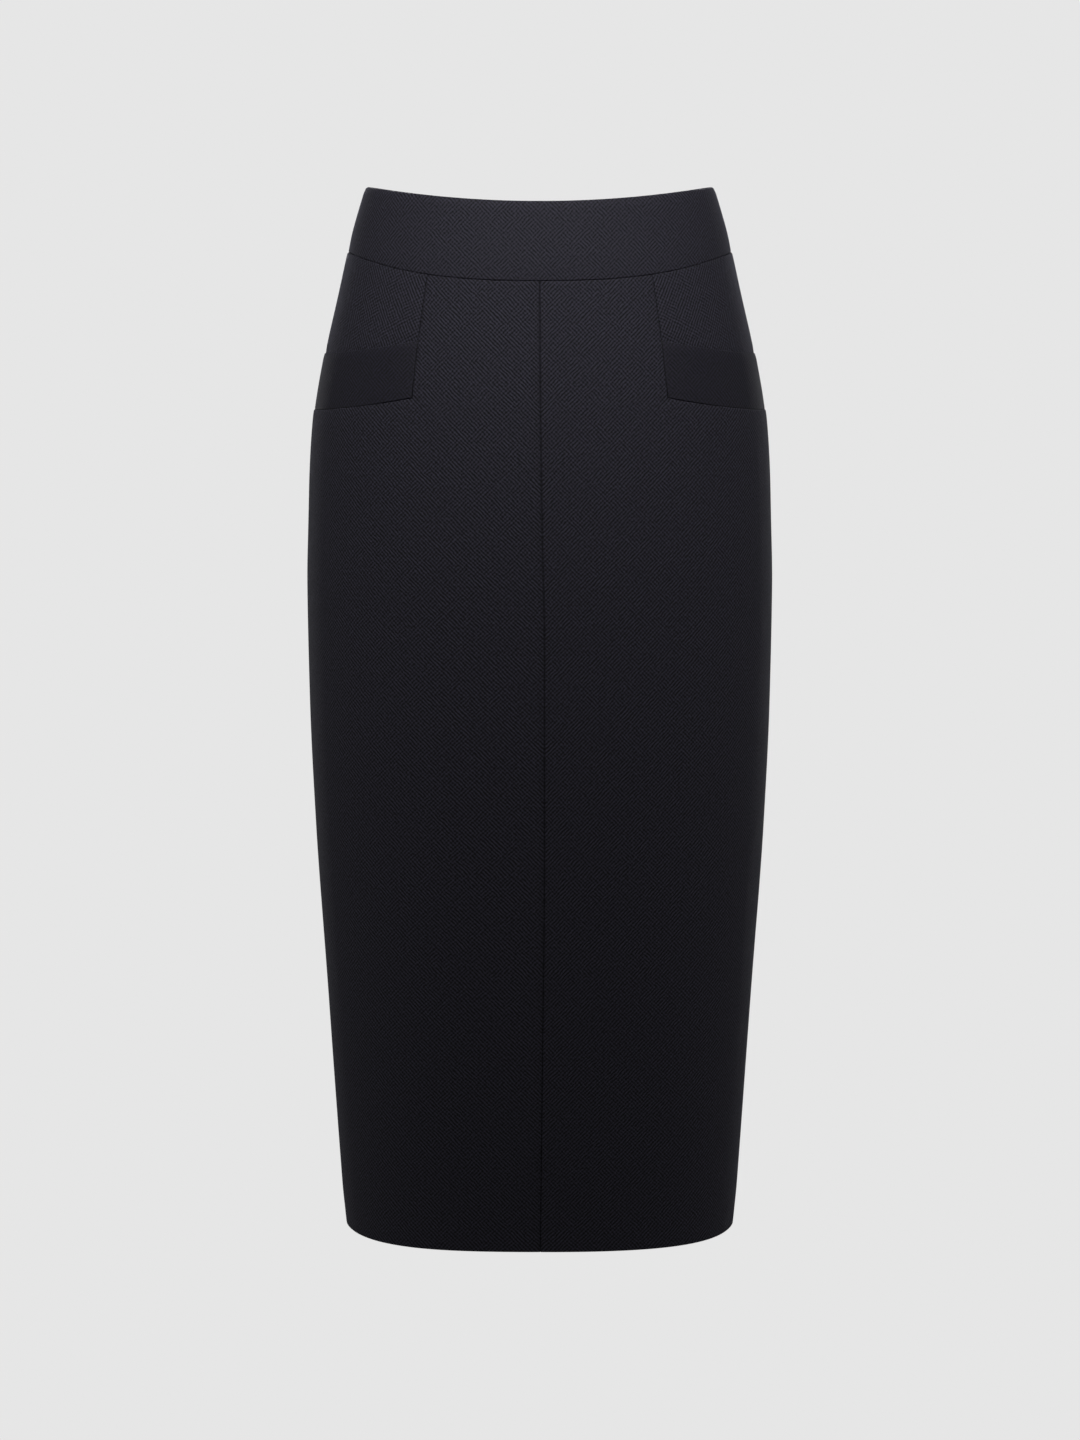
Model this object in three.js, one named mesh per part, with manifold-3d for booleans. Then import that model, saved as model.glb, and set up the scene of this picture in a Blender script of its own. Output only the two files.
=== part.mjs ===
// A high-waisted pencil skirt, hollow and filled out as it is when worn, in millimetres with +Z up.
// The origin is the middle of the waist opening, half way up the waistband, where a waist holds it.
// The front faces -Y and the wearer's left is +X.
//
// Every cloth piece is a wall laid on one body surface. The surface is a stack of level sections, each
// a squared ellipse with its own front and back half. A place on it is a level and a share of the way
// round, from 0 at centre front or centre back to 1 at the side seam.
import * as THREE from "three";
import { mergeVertices } from "three/addons/utils/BufferGeometryUtils.js";
import Module from "manifold-3d";

const wasm = await Module();
wasm.setup();

// Body surface: half width at the sides, depths of the two halves, and how square each half is
const SECTIONS = [
  { level: 30, halfWidth: 122.0, frontDepth: 88, backDepth: 88, frontPower: 2.35, backPower: 2.25 },
  { level: 0, halfWidth: 131.0, frontDepth: 94, backDepth: 95, frontPower: 2.35, backPower: 2.25 },
  { level: -40, halfWidth: 140.7, frontDepth: 101, backDepth: 105, frontPower: 2.4, backPower: 2.3 },
  { level: -85, halfWidth: 151.2, frontDepth: 108, backDepth: 117.5, frontPower: 2.45, backPower: 2.35 },
  { level: -130, halfWidth: 158.8, frontDepth: 113, backDepth: 127, frontPower: 2.5, backPower: 2.4 },
  { level: -185, halfWidth: 163.1, frontDepth: 117, backDepth: 132.5, frontPower: 2.5, backPower: 2.4 },
  { level: -250, halfWidth: 165.4, frontDepth: 119, backDepth: 132.5, frontPower: 2.5, backPower: 2.4 },
  { level: -330, halfWidth: 164.5, frontDepth: 119, backDepth: 127, frontPower: 2.55, backPower: 2.45 },
  { level: -420, halfWidth: 161.1, frontDepth: 117, backDepth: 120, frontPower: 2.6, backPower: 2.5 },
  { level: -510, halfWidth: 155.4, frontDepth: 114, backDepth: 114, frontPower: 2.7, backPower: 2.5 },
  { level: -610, halfWidth: 148.8, frontDepth: 111, backDepth: 109, frontPower: 2.8, backPower: 2.55 },
  { level: -710, halfWidth: 142.2, frontDepth: 108, backDepth: 105, frontPower: 2.9, backPower: 2.6 },
];

// Levels at centre front and centre back, and how far each line climbs to the side seam
const TOP_EDGE = { centre: 18.6, rise: 11.4, power: 2 };
const WAIST_SEAM = { centre: -35, rise: 20, power: 2.6 };
const HEM_LEVEL = -710;

// Cloth
const SEAM_GAP = 0.3;
const CLOTH = 1.3;
const WAISTBAND = { outside: 0.4, thickness: 2.2, outerRounding: 1.0, innerRounding: 0.6 };
const HEM_TURN_UP = { height: 35, step: 1, thickness: 2.5, rounding: 0.5 };

// Hip pocket: a yoke above, a band across the mouth, and the front's lip below the band
const POCKET_SHARE = 0.4;
const BAND_TOP = { inner: -75, drop: 10.5 };
const BAND_FOOT = { inner: -113.7, drop: 10.9 };
const DROP_POWER = 2.4;
const BAND = { thickness: 1.15, innerOutside: 0.15, outside: 0.75, rampShare: 0.12 };
const LIP = { outside: 1.5, rampShare: 0.2, fadeHeight: 100 };
const SIDE_FADE = { fromShare: 0.93, kept: 0.25 };
const YOKE = { thickness: 1.2, sinkHeight: 8, overlap: 14 };
const ROWS = { waistband: 5, frontUpper: 5, frontLower: 11, yoke: 5, yokeBehindBand: 3, pocketBand: 4 };

// Walking vent at centre back: the left edge lies over an extension of the right panel
const VENT = { height: 200, underlap: 35, facing: 30, facingThickness: 2.4, sinkWidth: 32, sinkHeight: 28 };

// Concealed zip at centre back, with its slider at the top
const ZIP_TAPE = { top: 2, foot: -165, width: 24, outside: -2.15, thickness: 1 };
const SLIDER = { level: 10, slotFoot: 3.5, slotHalf: 1.3, width: 6.4, height: 10, plate: 1.2, plateGap: 0.4 };
const SLIDER_NECK = { width: 1.6, height: 8 };
const ARCH = { width: 1.5, inner: 1.3, outer: 2.3, axisAbovePlate: 0.9 };
const PULL = { thickness: 1.1, length: 23, shoulder: 2.3, belly: 3.3, windowHalf: 1.15, windowFoot: 3.3 };
const PULL_WAIST = { top: 4.3, upperHandle: 9, lowerHandle: 12 };

// Shares at which the walls have a column of points
const FRONT_INNER_SHARES = [0, 0.1, 0.2, 0.3, POCKET_SHARE];
const FRONT_OUTER_SHARES = [POCKET_SHARE, 0.46, 0.52, 0.6, 0.67, 0.74, 0.81, 0.87, 0.93, 0.97, 1];
const FRONT_SHARES = [...FRONT_INNER_SHARES, ...FRONT_OUTER_SHARES.slice(1)];
const BACK_SHARES = [0, 0.035, 0.07, 0.11, 0.15, 0.23, 0.32, 0.42, 0.52, 0.61, 0.69, 0.77, 0.84, 0.9, 0.95, 1];

const INK_NAVY = 0x23232b;
const wool = new THREE.MeshStandardMaterial({ color: INK_NAVY, roughness: 0.85, metalness: 0 });
const bandWool = new THREE.MeshStandardMaterial({ color: 0x1f1f26, roughness: 0.7, metalness: 0 });
const zipTape = new THREE.MeshStandardMaterial({ color: 0x1b1b22, roughness: 0.9, metalness: 0 });
const enamelled = new THREE.MeshStandardMaterial({ color: 0x202028, roughness: 0.35, metalness: 0.4 });

const smooth = (value) => THREE.MathUtils.smoothstep(value, 0, 1);

// A monotone curve through one column of the sections
function sectionCurve(column) {
  const rows = [...SECTIONS].reverse();
  const step = (i) => rows[i + 1].level - rows[i].level;
  const slope = (i) => (rows[i + 1][column] - rows[i][column]) / step(i);
  const tangents = rows.map((row, i) => {
    if (i === 0) return slope(0);
    if (i === rows.length - 1) return slope(i - 1);
    if (slope(i - 1) * slope(i) <= 0) return 0;
    const before = 2 * step(i) + step(i - 1);
    const after = step(i) + 2 * step(i - 1);
    return (before + after) / (before / slope(i - 1) + after / slope(i));
  });
  return (level) => {
    let i = rows.findLastIndex((row) => row.level <= level);
    i = THREE.MathUtils.clamp(i, 0, rows.length - 2);
    const h = step(i);
    const t = (level - rows[i].level) / h;
    return (
      (2 * t ** 3 - 3 * t ** 2 + 1) * rows[i][column] +
      (t ** 3 - 2 * t ** 2 + t) * h * tangents[i] +
      (3 * t ** 2 - 2 * t ** 3) * rows[i + 1][column] +
      (t ** 3 - t ** 2) * h * tangents[i + 1]
    );
  };
}

const halfWidthAt = sectionCurve("halfWidth");
const HALVES = {
  front: { side: -1, depthAt: sectionCurve("frontDepth"), powerAt: sectionCurve("frontPower") },
  back: { side: 1, depthAt: sectionCurve("backDepth"), powerAt: sectionCurve("backPower") },
};

// The quarter of one level from the centre line to the side, as close points with their distance along it
const STEPS = 360;
const quarters = new Map();
function quarterAt(half, level) {
  const key = half + level.toFixed(4);
  if (!quarters.has(key)) {
    const { side, depthAt, powerAt } = HALVES[half];
    const width = halfWidthAt(level);
    const depth = depthAt(level);
    const power = powerAt(level);
    const points = [];
    let along = 0;
    for (let i = 0; i <= STEPS; i++) {
      const turn = ((i / STEPS) * Math.PI) / 2;
      const across = Math.sin(turn) ** (2 / power);
      const deep = Math.max(Math.cos(turn), 0) ** (2 / power);
      const point = new THREE.Vector2(width * across, side * depth * deep);
      if (i > 0) along += point.distanceTo(points[i - 1].point);
      const normal = new THREE.Vector2(across ** (power - 1) / width, (side * deep ** (power - 1)) / depth);
      points.push({ point, along, normal: normal.normalize(), across });
    }
    quarters.set(key, { points, length: along });
  }
  return quarters.get(key);
}

// The point of a quarter at a distance from its centre line, with its outward normal
function alongQuarter(half, level, distance) {
  const { points, length } = quarterAt(half, level);
  const reach = THREE.MathUtils.clamp(distance, 0, length);
  const next = Math.max(1, points.findIndex((p) => p.along >= reach - 1e-9));
  const [a, b] = [points[next - 1], points[next]];
  const t = (reach - a.along) / (b.along - a.along);
  return {
    point: a.point.clone().lerp(b.point, t),
    normal: a.normal.clone().lerp(b.normal, t).normalize(),
    across: THREE.MathUtils.lerp(a.across, b.across, t),
  };
}

const quarterLength = (half, level) => quarterAt(half, level).length;

// A point at a signed distance from the centre line, positive to the wearer's left, moved out from the surface
function surfacePoint(half, level, distance, outside) {
  const { point, normal } = alongQuarter(half, level, Math.abs(distance));
  const hand = distance < 0 ? -1 : 1;
  return new THREE.Vector3(
    hand * (point.x + normal.x * outside),
    point.y + normal.y * outside,
    level,
  );
}

// The level of a line that climbs from the centre to the side seam
function risingLevel(line, half, share) {
  const { across } = alongQuarter(half, line.centre, share * quarterLength(half, line.centre));
  return line.centre + line.rise * across ** line.power;
}

// The level of a pocket line, which falls from its inner end to the side seam
function pocketLevel(line, share) {
  const t = Math.max(0, (share - POCKET_SHARE) / (1 - POCKET_SHARE));
  return line.inner - line.drop * (1 - (1 - t) ** DROP_POWER);
}

// How far the pocket band and the front's lip stand out from the body surface
const sideFade = (share) =>
  1 - (1 - SIDE_FADE.kept) * smooth((share - SIDE_FADE.fromShare) / (1 - SIDE_FADE.fromShare));
const bandOutside = (share) =>
  BAND.innerOutside +
  (BAND.outside - BAND.innerOutside) * smooth((share - POCKET_SHARE) / BAND.rampShare) * sideFade(share);
function lipOutside(share, level) {
  const below = Math.max(0, pocketLevel(BAND_FOOT, share) - level);
  const ramp = smooth((share - POCKET_SHARE) / LIP.rampShare);
  return LIP.outside * ramp * sideFade(share) * (1 - smooth(below / LIP.fadeHeight));
}

// A closed wall from rows and columns of paired outer and inner points, where some cells can be left out
function clothWall(rowCount, columnCount, place, hasCell = () => true) {
  const vertices = [];
  const points = [];
  for (let row = 0; row < rowCount; row++) {
    points.push([]);
    for (let column = 0; column < columnCount; column++) {
      const { outer, inner } = place(row, column);
      points[row].push({ outer, inner });
    }
  }
  const triangle = (a, b, c) => vertices.push(...a.toArray(), ...b.toArray(), ...c.toArray());
  const present = (row, column) =>
    row >= 0 && column >= 0 && row < rowCount - 1 && column < columnCount - 1 && hasCell(row, column);

  for (let row = 0; row < rowCount - 1; row++) {
    for (let column = 0; column < columnCount - 1; column++) {
      if (!present(row, column)) continue;
      const a = points[row][column];
      const b = points[row][column + 1];
      const c = points[row + 1][column + 1];
      const d = points[row + 1][column];
      triangle(a.outer, b.outer, c.outer);
      triangle(a.outer, c.outer, d.outer);
      triangle(a.inner, c.inner, b.inner);
      triangle(a.inner, d.inner, c.inner);
      const edges = [
        [row - 1, column, a, b],
        [row, column + 1, b, c],
        [row + 1, column, c, d],
        [row, column - 1, d, a],
      ];
      for (const [nextRow, nextColumn, from, to] of edges) {
        if (present(nextRow, nextColumn)) continue;
        triangle(from.outer, from.inner, to.inner);
        triangle(from.outer, to.inner, to.outer);
      }
    }
  }
  return turnedOutward(vertices);
}

// The triangles as a geometry whose faces all point out of the solid
function turnedOutward(vertices) {
  const [a, b, c] = [new THREE.Vector3(), new THREE.Vector3(), new THREE.Vector3()];
  let volume = 0;
  for (let i = 0; i < vertices.length; i += 9) {
    a.fromArray(vertices, i);
    b.fromArray(vertices, i + 3);
    c.fromArray(vertices, i + 6);
    volume += a.dot(b.clone().cross(c));
  }
  if (volume < 0) {
    for (let i = 0; i < vertices.length; i += 9) {
      const second = vertices.slice(i + 3, i + 6);
      vertices.splice(i + 3, 6, ...vertices.slice(i + 6, i + 9), ...second);
    }
  }
  const geometry = new THREE.BufferGeometry();
  geometry.setAttribute("position", new THREE.Float32BufferAttribute(vertices, 3));
  return geometry;
}

// Evenly spaced values from one end to the other, both included
const evenly = (from, to, count) =>
  Array.from({ length: count + 1 }, (_, i) => THREE.MathUtils.lerp(from, to, i / count));

const HANDS = { left: 1, right: -1 };

// A distance from the centre line that stays half a seam gap inside both ends of its quarter
function insideQuarter(half, level, share, startGap = SEAM_GAP / 2) {
  const length = quarterLength(half, level);
  return THREE.MathUtils.clamp(share * length, startGap, length - SEAM_GAP / 2);
}

// Waistband rows, from the seam to the shoulder of its rounded top edge, and then the edge itself
const WAISTBAND_ROWS = [...evenly(0, 1, ROWS.waistband).map((t) => ({ t })), { t: 1, isEdge: true }];
function waistbandPair(half, share, { t, isEdge }, distanceAt) {
  const foot = risingLevel(WAIST_SEAM, half, share) + SEAM_GAP / 2;
  const edge = risingLevel(TOP_EDGE, half, share);
  const level = isEdge ? edge : THREE.MathUtils.lerp(foot, edge - WAISTBAND.outerRounding, t);
  const distance = distanceAt(level);
  const outer = WAISTBAND.outside - (isEdge ? WAISTBAND.outerRounding : 0);
  const inner = WAISTBAND.outside - WAISTBAND.thickness + (isEdge ? WAISTBAND.innerRounding : 0);
  return {
    outer: surfacePoint(half, level, distance, outer),
    inner: surfacePoint(half, level, distance, inner),
  };
}

function waistbandFront() {
  const signed = [...FRONT_SHARES.slice(1).map((share) => -share).reverse(), ...FRONT_SHARES];
  return clothWall(WAISTBAND_ROWS.length, signed.length, (row, column) => {
    const share = Math.abs(signed[column]);
    const hand = Math.sign(signed[column]);
    const distanceAt = (level) => hand * insideQuarter("front", level, share, 0);
    return waistbandPair("front", share, WAISTBAND_ROWS[row], distanceAt);
  });
}

// Each back half of the waistband leaves a slot at the top for the neck of the zip slider
function waistbandBack(hand) {
  return clothWall(WAISTBAND_ROWS.length, BACK_SHARES.length, (row, column) =>
    waistbandPair("back", BACK_SHARES[column], WAISTBAND_ROWS[row], (level) => {
      const startGap = level > SLIDER.slotFoot ? SLIDER.slotHalf : SEAM_GAP / 2;
      return hand * insideQuarter("back", level, BACK_SHARES[column], startGap);
    }),
  );
}

// Levels of the turned-up hem, which is a thicker stretch of the wall, from its raw edge to the fold
const TURN_UP_TOP = HEM_LEVEL + HEM_TURN_UP.height;
const TURN_UP_LEVELS = [
  TURN_UP_TOP - HEM_TURN_UP.step,
  HEM_LEVEL + HEM_TURN_UP.height / 2,
  HEM_LEVEL + HEM_TURN_UP.step,
  HEM_LEVEL,
];

// Thickness and rounding of a panel near its hem
function hemWall(level) {
  const inTurnUp = level <= TURN_UP_LEVELS[0];
  const rounding = level <= HEM_LEVEL ? HEM_TURN_UP.rounding : 0;
  return { thickness: inTurnUp ? HEM_TURN_UP.thickness : CLOTH, rounding };
}

// A distance in the front's outer part that stays half a seam gap beyond the seam at the pocket's inner end
function besidePocketSeam(level, share) {
  const seam = POCKET_SHARE * quarterLength("front", level);
  return insideQuarter("front", level, share, seam + SEAM_GAP / 2);
}

function front(hand) {
  const pocketColumn = FRONT_INNER_SHARES.length - 1;
  const footRow = ROWS.frontUpper;
  const rows = [
    ...evenly(0, 1, ROWS.frontUpper).map((t) => ({ part: "upper", t })),
    ...evenly(0, 1, ROWS.frontLower).map((t) => ({ part: "lower", t })),
    ...TURN_UP_LEVELS.map((level) => ({ part: "hem", hemLevel: level })),
  ];
  const place = (row, column) => {
    const share = FRONT_SHARES[column];
    const { part, t, hemLevel } = rows[row];
    const top = risingLevel(WAIST_SEAM, "front", share) - SEAM_GAP / 2;
    const pocket = pocketLevel(BAND_FOOT, share);
    let level = hemLevel;
    if (part === "upper") level = THREE.MathUtils.lerp(top, pocket, t);
    if (part === "lower") level = THREE.MathUtils.lerp(pocket - YOKE.overlap, TURN_UP_TOP, t);
    if (row === footRow && column > pocketColumn) level -= SEAM_GAP / 2;
    const isYokeEdge = column === pocketColumn && row < footRow;
    const distance = insideQuarter("front", level, share) - (isYokeEdge ? SEAM_GAP / 2 : 0);
    const { thickness, rounding } = hemWall(level);
    const outside = lipOutside(share, level);
    return {
      outer: surfacePoint("front", level, hand * distance, outside - rounding),
      inner: surfacePoint("front", level, hand * distance, outside - thickness + rounding),
    };
  };
  const hasCell = (row, column) => row >= footRow || column < pocketColumn;
  return clothWall(rows.length, FRONT_SHARES.length, place, hasCell);
}

// The hip yoke goes on behind the pocket band and ends a little way inside the front
function yoke(hand) {
  const rows = [
    ...evenly(0, 1, ROWS.yoke).map((t) => ({ part: "visible", t })),
    { part: "sink" },
    ...evenly(0, 1, ROWS.yokeBehindBand).slice(1).map((t) => ({ part: "hidden", t })),
    { part: "overlap" },
  ];
  const place = (row, column) => {
    const share = FRONT_OUTER_SHARES[column];
    const { part, t } = rows[row];
    const top = risingLevel(WAIST_SEAM, "front", share) - SEAM_GAP / 2;
    const mouth = pocketLevel(BAND_TOP, share);
    const foot = pocketLevel(BAND_FOOT, share);
    const under = Math.min(
      bandOutside(share) - BAND.thickness - SEAM_GAP,
      lipOutside(share, foot) - CLOTH - SEAM_GAP,
    );
    let level = mouth;
    let outside = under;
    if (part === "visible") {
      level = THREE.MathUtils.lerp(top, mouth + YOKE.sinkHeight, t);
      outside = 0;
    }
    if (part === "sink") level = mouth + SEAM_GAP;
    if (part === "hidden") level = THREE.MathUtils.lerp(mouth, foot, t);
    if (part === "overlap") {
      level = foot - YOKE.overlap;
      outside = lipOutside(share, level) - CLOTH - SEAM_GAP;
    }
    const distance = besidePocketSeam(level, share);
    return {
      outer: surfacePoint("front", level, hand * distance, outside),
      inner: surfacePoint("front", level, hand * distance, outside - YOKE.thickness),
    };
  };
  return clothWall(rows.length, FRONT_OUTER_SHARES.length, place);
}

function pocketBand(hand) {
  const rows = evenly(0, 1, ROWS.pocketBand);
  const place = (row, column) => {
    const share = FRONT_OUTER_SHARES[column];
    const foot = pocketLevel(BAND_FOOT, share) + SEAM_GAP / 2;
    const level = THREE.MathUtils.lerp(foot, pocketLevel(BAND_TOP, share), rows[row]);
    const distance = besidePocketSeam(level, share);
    const outside = bandOutside(share);
    return {
      outer: surfacePoint("front", level, hand * distance, outside),
      inner: surfacePoint("front", level, hand * distance, outside - BAND.thickness),
    };
  };
  return clothWall(rows.length, FRONT_OUTER_SHARES.length, place);
}

// Levels of a back panel: above the vent, where the right panel sinks, and beside the vent
const BACK_ROWS = { above: 10, sink: 3, vent: 4 };
const VENT_ROW = BACK_ROWS.above + BACK_ROWS.sink;
const VENT_TOP = HEM_LEVEL + VENT.height;
const SINK_TOP = VENT_TOP + VENT.sinkHeight;
function backLevels(share) {
  const top = risingLevel(WAIST_SEAM, "back", share) - SEAM_GAP / 2;
  return [
    ...evenly(top, SINK_TOP, BACK_ROWS.above),
    ...evenly(SINK_TOP, VENT_TOP, BACK_ROWS.sink).slice(1),
    ...evenly(VENT_TOP, TURN_UP_TOP, BACK_ROWS.vent).slice(1),
    ...TURN_UP_LEVELS,
  ];
}

function backLeft() {
  const rowCount = backLevels(0).length;
  const place = (row, column) => {
    const share = BACK_SHARES[column];
    const level = backLevels(share)[row];
    const distance = insideQuarter("back", level, share);
    const { thickness, rounding } = hemWall(level);
    const hasFacing = row >= VENT_ROW && distance <= VENT.facing;
    const wall = hasFacing ? Math.max(thickness, VENT.facingThickness) : thickness;
    return {
      outer: surfacePoint("back", level, distance, -rounding),
      inner: surfacePoint("back", level, distance, rounding - wall),
    };
  };
  return clothWall(rowCount, BACK_SHARES.length, place);
}

// How far the right panel sinks so that its extension passes under the left edge of the vent
function ventSink(level, distance) {
  const beneath = HEM_TURN_UP.thickness + SEAM_GAP;
  const near = smooth(1 + Math.min(distance, 0) / VENT.sinkWidth);
  const down = smooth((SINK_TOP - level) / VENT.sinkHeight);
  return beneath * near * down;
}

function backRight() {
  const extension = [VENT.underlap, VENT.underlap / 2, VENT.underlap / 6];
  const columnCount = extension.length + BACK_SHARES.length;
  const rowCount = backLevels(0).length;
  const place = (row, column) => {
    const isExtension = column < extension.length;
    const share = isExtension ? 0 : BACK_SHARES[column - extension.length];
    const level = backLevels(share)[row];
    const distance = isExtension ? extension[column] : -insideQuarter("back", level, share);
    const { thickness, rounding } = hemWall(level);
    const outside = -ventSink(level, distance);
    return {
      outer: surfacePoint("back", level, distance, outside - rounding),
      inner: surfacePoint("back", level, distance, outside - thickness + rounding),
    };
  };
  const hasCell = (row, column) => column >= extension.length || row >= VENT_ROW;
  return clothWall(rowCount, columnCount, place, hasCell);
}

const TAPE_CELLS = { along: 12, across: 4 };
function zipTapeWall() {
  const levels = evenly(ZIP_TAPE.foot, ZIP_TAPE.top, TAPE_CELLS.along);
  const distances = evenly(-ZIP_TAPE.width / 2, ZIP_TAPE.width / 2, TAPE_CELLS.across);
  return clothWall(levels.length, distances.length, (row, column) => ({
    outer: surfacePoint("back", levels[row], distances[column], ZIP_TAPE.outside),
    inner: surfacePoint("back", levels[row], distances[column], ZIP_TAPE.outside - ZIP_TAPE.thickness),
  }));
}

function asSolid(geometry) {
  const bare = new THREE.BufferGeometry();
  const loose = geometry.index ? geometry.toNonIndexed() : geometry;
  bare.setAttribute("position", loose.getAttribute("position"));
  const merged = mergeVertices(bare, 1e-4);
  return new wasm.Manifold(
    new wasm.Mesh({
      numProp: 3,
      vertProperties: merged.getAttribute("position").array,
      triVerts: new Uint32Array(merged.index.array),
    }),
  );
}

function asGeometry(solid) {
  const mesh = solid.getMesh();
  const geometry = new THREE.BufferGeometry();
  geometry.setAttribute("position", new THREE.BufferAttribute(mesh.vertProperties, 3));
  geometry.setIndex(new THREE.BufferAttribute(mesh.triVerts, 1));
  return geometry.toNonIndexed();
}

// A box given by its middle and its size
function block(width, depth, height, y) {
  return asSolid(new THREE.BoxGeometry(width, depth, height).translate(0, y, 0));
}

// Depths in the slider's own frame, where y is out from the body surface
const FRONT_PLATE_Y = WAISTBAND.outside + SLIDER.plateGap;
const BACK_PLATE_Y = WAISTBAND.outside - WAISTBAND.thickness - SLIDER.plateGap;
const PULL_AXIS_Y = FRONT_PLATE_Y + SLIDER.plate + ARCH.axisAbovePlate;

// The arch that holds the pull, as a staple standing on the front plate
function archSolid() {
  const outline = new THREE.Shape();
  outline.moveTo(-ARCH.outer, -ARCH.axisAbovePlate - SLIDER.plate / 2);
  outline.lineTo(-ARCH.outer, 0);
  outline.absarc(0, 0, ARCH.outer, Math.PI, 0, true);
  outline.lineTo(ARCH.outer, -ARCH.axisAbovePlate - SLIDER.plate / 2);
  outline.lineTo(ARCH.inner, -ARCH.axisAbovePlate - SLIDER.plate / 2);
  outline.lineTo(ARCH.inner, 0);
  outline.absarc(0, 0, ARCH.inner, 0, Math.PI, false);
  outline.lineTo(-ARCH.inner, -ARCH.axisAbovePlate - SLIDER.plate / 2);
  outline.closePath();
  const arch = new THREE.ExtrudeGeometry(outline, { depth: ARCH.width, bevelEnabled: false, curveSegments: 7 });
  arch.translate(0, 0, -ARCH.width / 2);
  arch.rotateY(Math.PI / 2);
  arch.translate(0, PULL_AXIS_Y, 0);
  return asSolid(arch);
}

function zipSlider() {
  const neckDepth = FRONT_PLATE_Y - BACK_PLATE_Y + SLIDER.plate;
  const neckMiddle = (FRONT_PLATE_Y + BACK_PLATE_Y) / 2;
  const frontPlate = block(SLIDER.width, SLIDER.plate, SLIDER.height, FRONT_PLATE_Y + SLIDER.plate / 2);
  const backPlate = block(SLIDER.width, SLIDER.plate, SLIDER.height, BACK_PLATE_Y - SLIDER.plate / 2);
  const neck = block(SLIDER_NECK.width, neckDepth, SLIDER_NECK.height, neckMiddle);
  return asGeometry(frontPlate.add(neck).add(backPlate).add(archSolid()));
}

// The teardrop pull hangs from a bar that lies in the arch, at the middle of its own frame
function zipPull() {
  const top = PULL.thickness / 2;
  const bellyLevel = PULL.belly - PULL.length;
  const { upperHandle, lowerHandle } = PULL_WAIST;
  const outline = new THREE.Shape();
  outline.moveTo(-PULL.shoulder, top);
  outline.lineTo(PULL.shoulder, top);
  outline.lineTo(PULL.shoulder, -PULL_WAIST.top);
  outline.bezierCurveTo(PULL.shoulder, -upperHandle, PULL.belly, -lowerHandle, PULL.belly, bellyLevel);
  outline.absarc(0, bellyLevel, PULL.belly, 0, -Math.PI, true);
  outline.bezierCurveTo(-PULL.belly, -lowerHandle, -PULL.shoulder, -upperHandle, -PULL.shoulder, -PULL_WAIST.top);
  outline.closePath();
  const window = new THREE.Path();
  window.moveTo(-PULL.windowHalf, -top);
  window.lineTo(-PULL.windowHalf, -PULL.windowFoot);
  window.lineTo(PULL.windowHalf, -PULL.windowFoot);
  window.lineTo(PULL.windowHalf, -top);
  window.closePath();
  outline.holes.push(window);
  const pull = new THREE.ExtrudeGeometry(outline, { depth: PULL.thickness, bevelEnabled: false, curveSegments: 6 });
  pull.translate(0, 0, -PULL.thickness / 2);
  pull.rotateX(Math.PI / 2);
  return asGeometry(asSolid(pull));
}

function named(name, geometry, material) {
  const mesh = new THREE.Mesh(geometry, material);
  mesh.name = name;
  return mesh;
}

// The slider and its pull share a frame that leans with the waistband at centre back
function zipHead() {
  const { depthAt } = HALVES.back;
  const { level, height } = SLIDER;
  const lean = Math.atan2(depthAt(level - height) - depthAt(level + height), 2 * height);
  const head = new THREE.Group();
  head.position.set(0, depthAt(level), level);
  head.rotation.x = lean;
  head.add(named("zip_slider", zipSlider(), enamelled));
  const pull = named("zip_pull", zipPull(), enamelled);
  pull.position.y = PULL_AXIS_Y;
  head.add(pull);
  return head;
}

const skirt = new THREE.Group();
skirt.add(named("waistband_front", waistbandFront(), wool));
for (const [name, hand] of Object.entries(HANDS)) {
  skirt.add(named(`waistband_back_${name}`, waistbandBack(hand), wool));
  skirt.add(named(`front_${name}`, front(hand), wool));
  skirt.add(named(`yoke_${name}`, yoke(hand), wool));
  skirt.add(named(`pocket_band_${name}`, pocketBand(hand), bandWool));
}
skirt.add(named("back_left", backLeft(), wool));
skirt.add(named("back_right", backRight(), wool));
skirt.add(named("zip_tape", zipTapeWall(), zipTape));
skirt.add(zipHead());

export default skirt;
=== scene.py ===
"""A dark wool pencil skirt, filled out as it is when worn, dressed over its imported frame.

Lengths in the tables are millimetres, in the frame's own axes: the front faces -Y and +Z is up.
"""

import math
from collections import namedtuple
from functools import partial
from math import pi

import bmesh
import bpy
import numpy as np
from mathutils import Matrix, Vector


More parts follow.
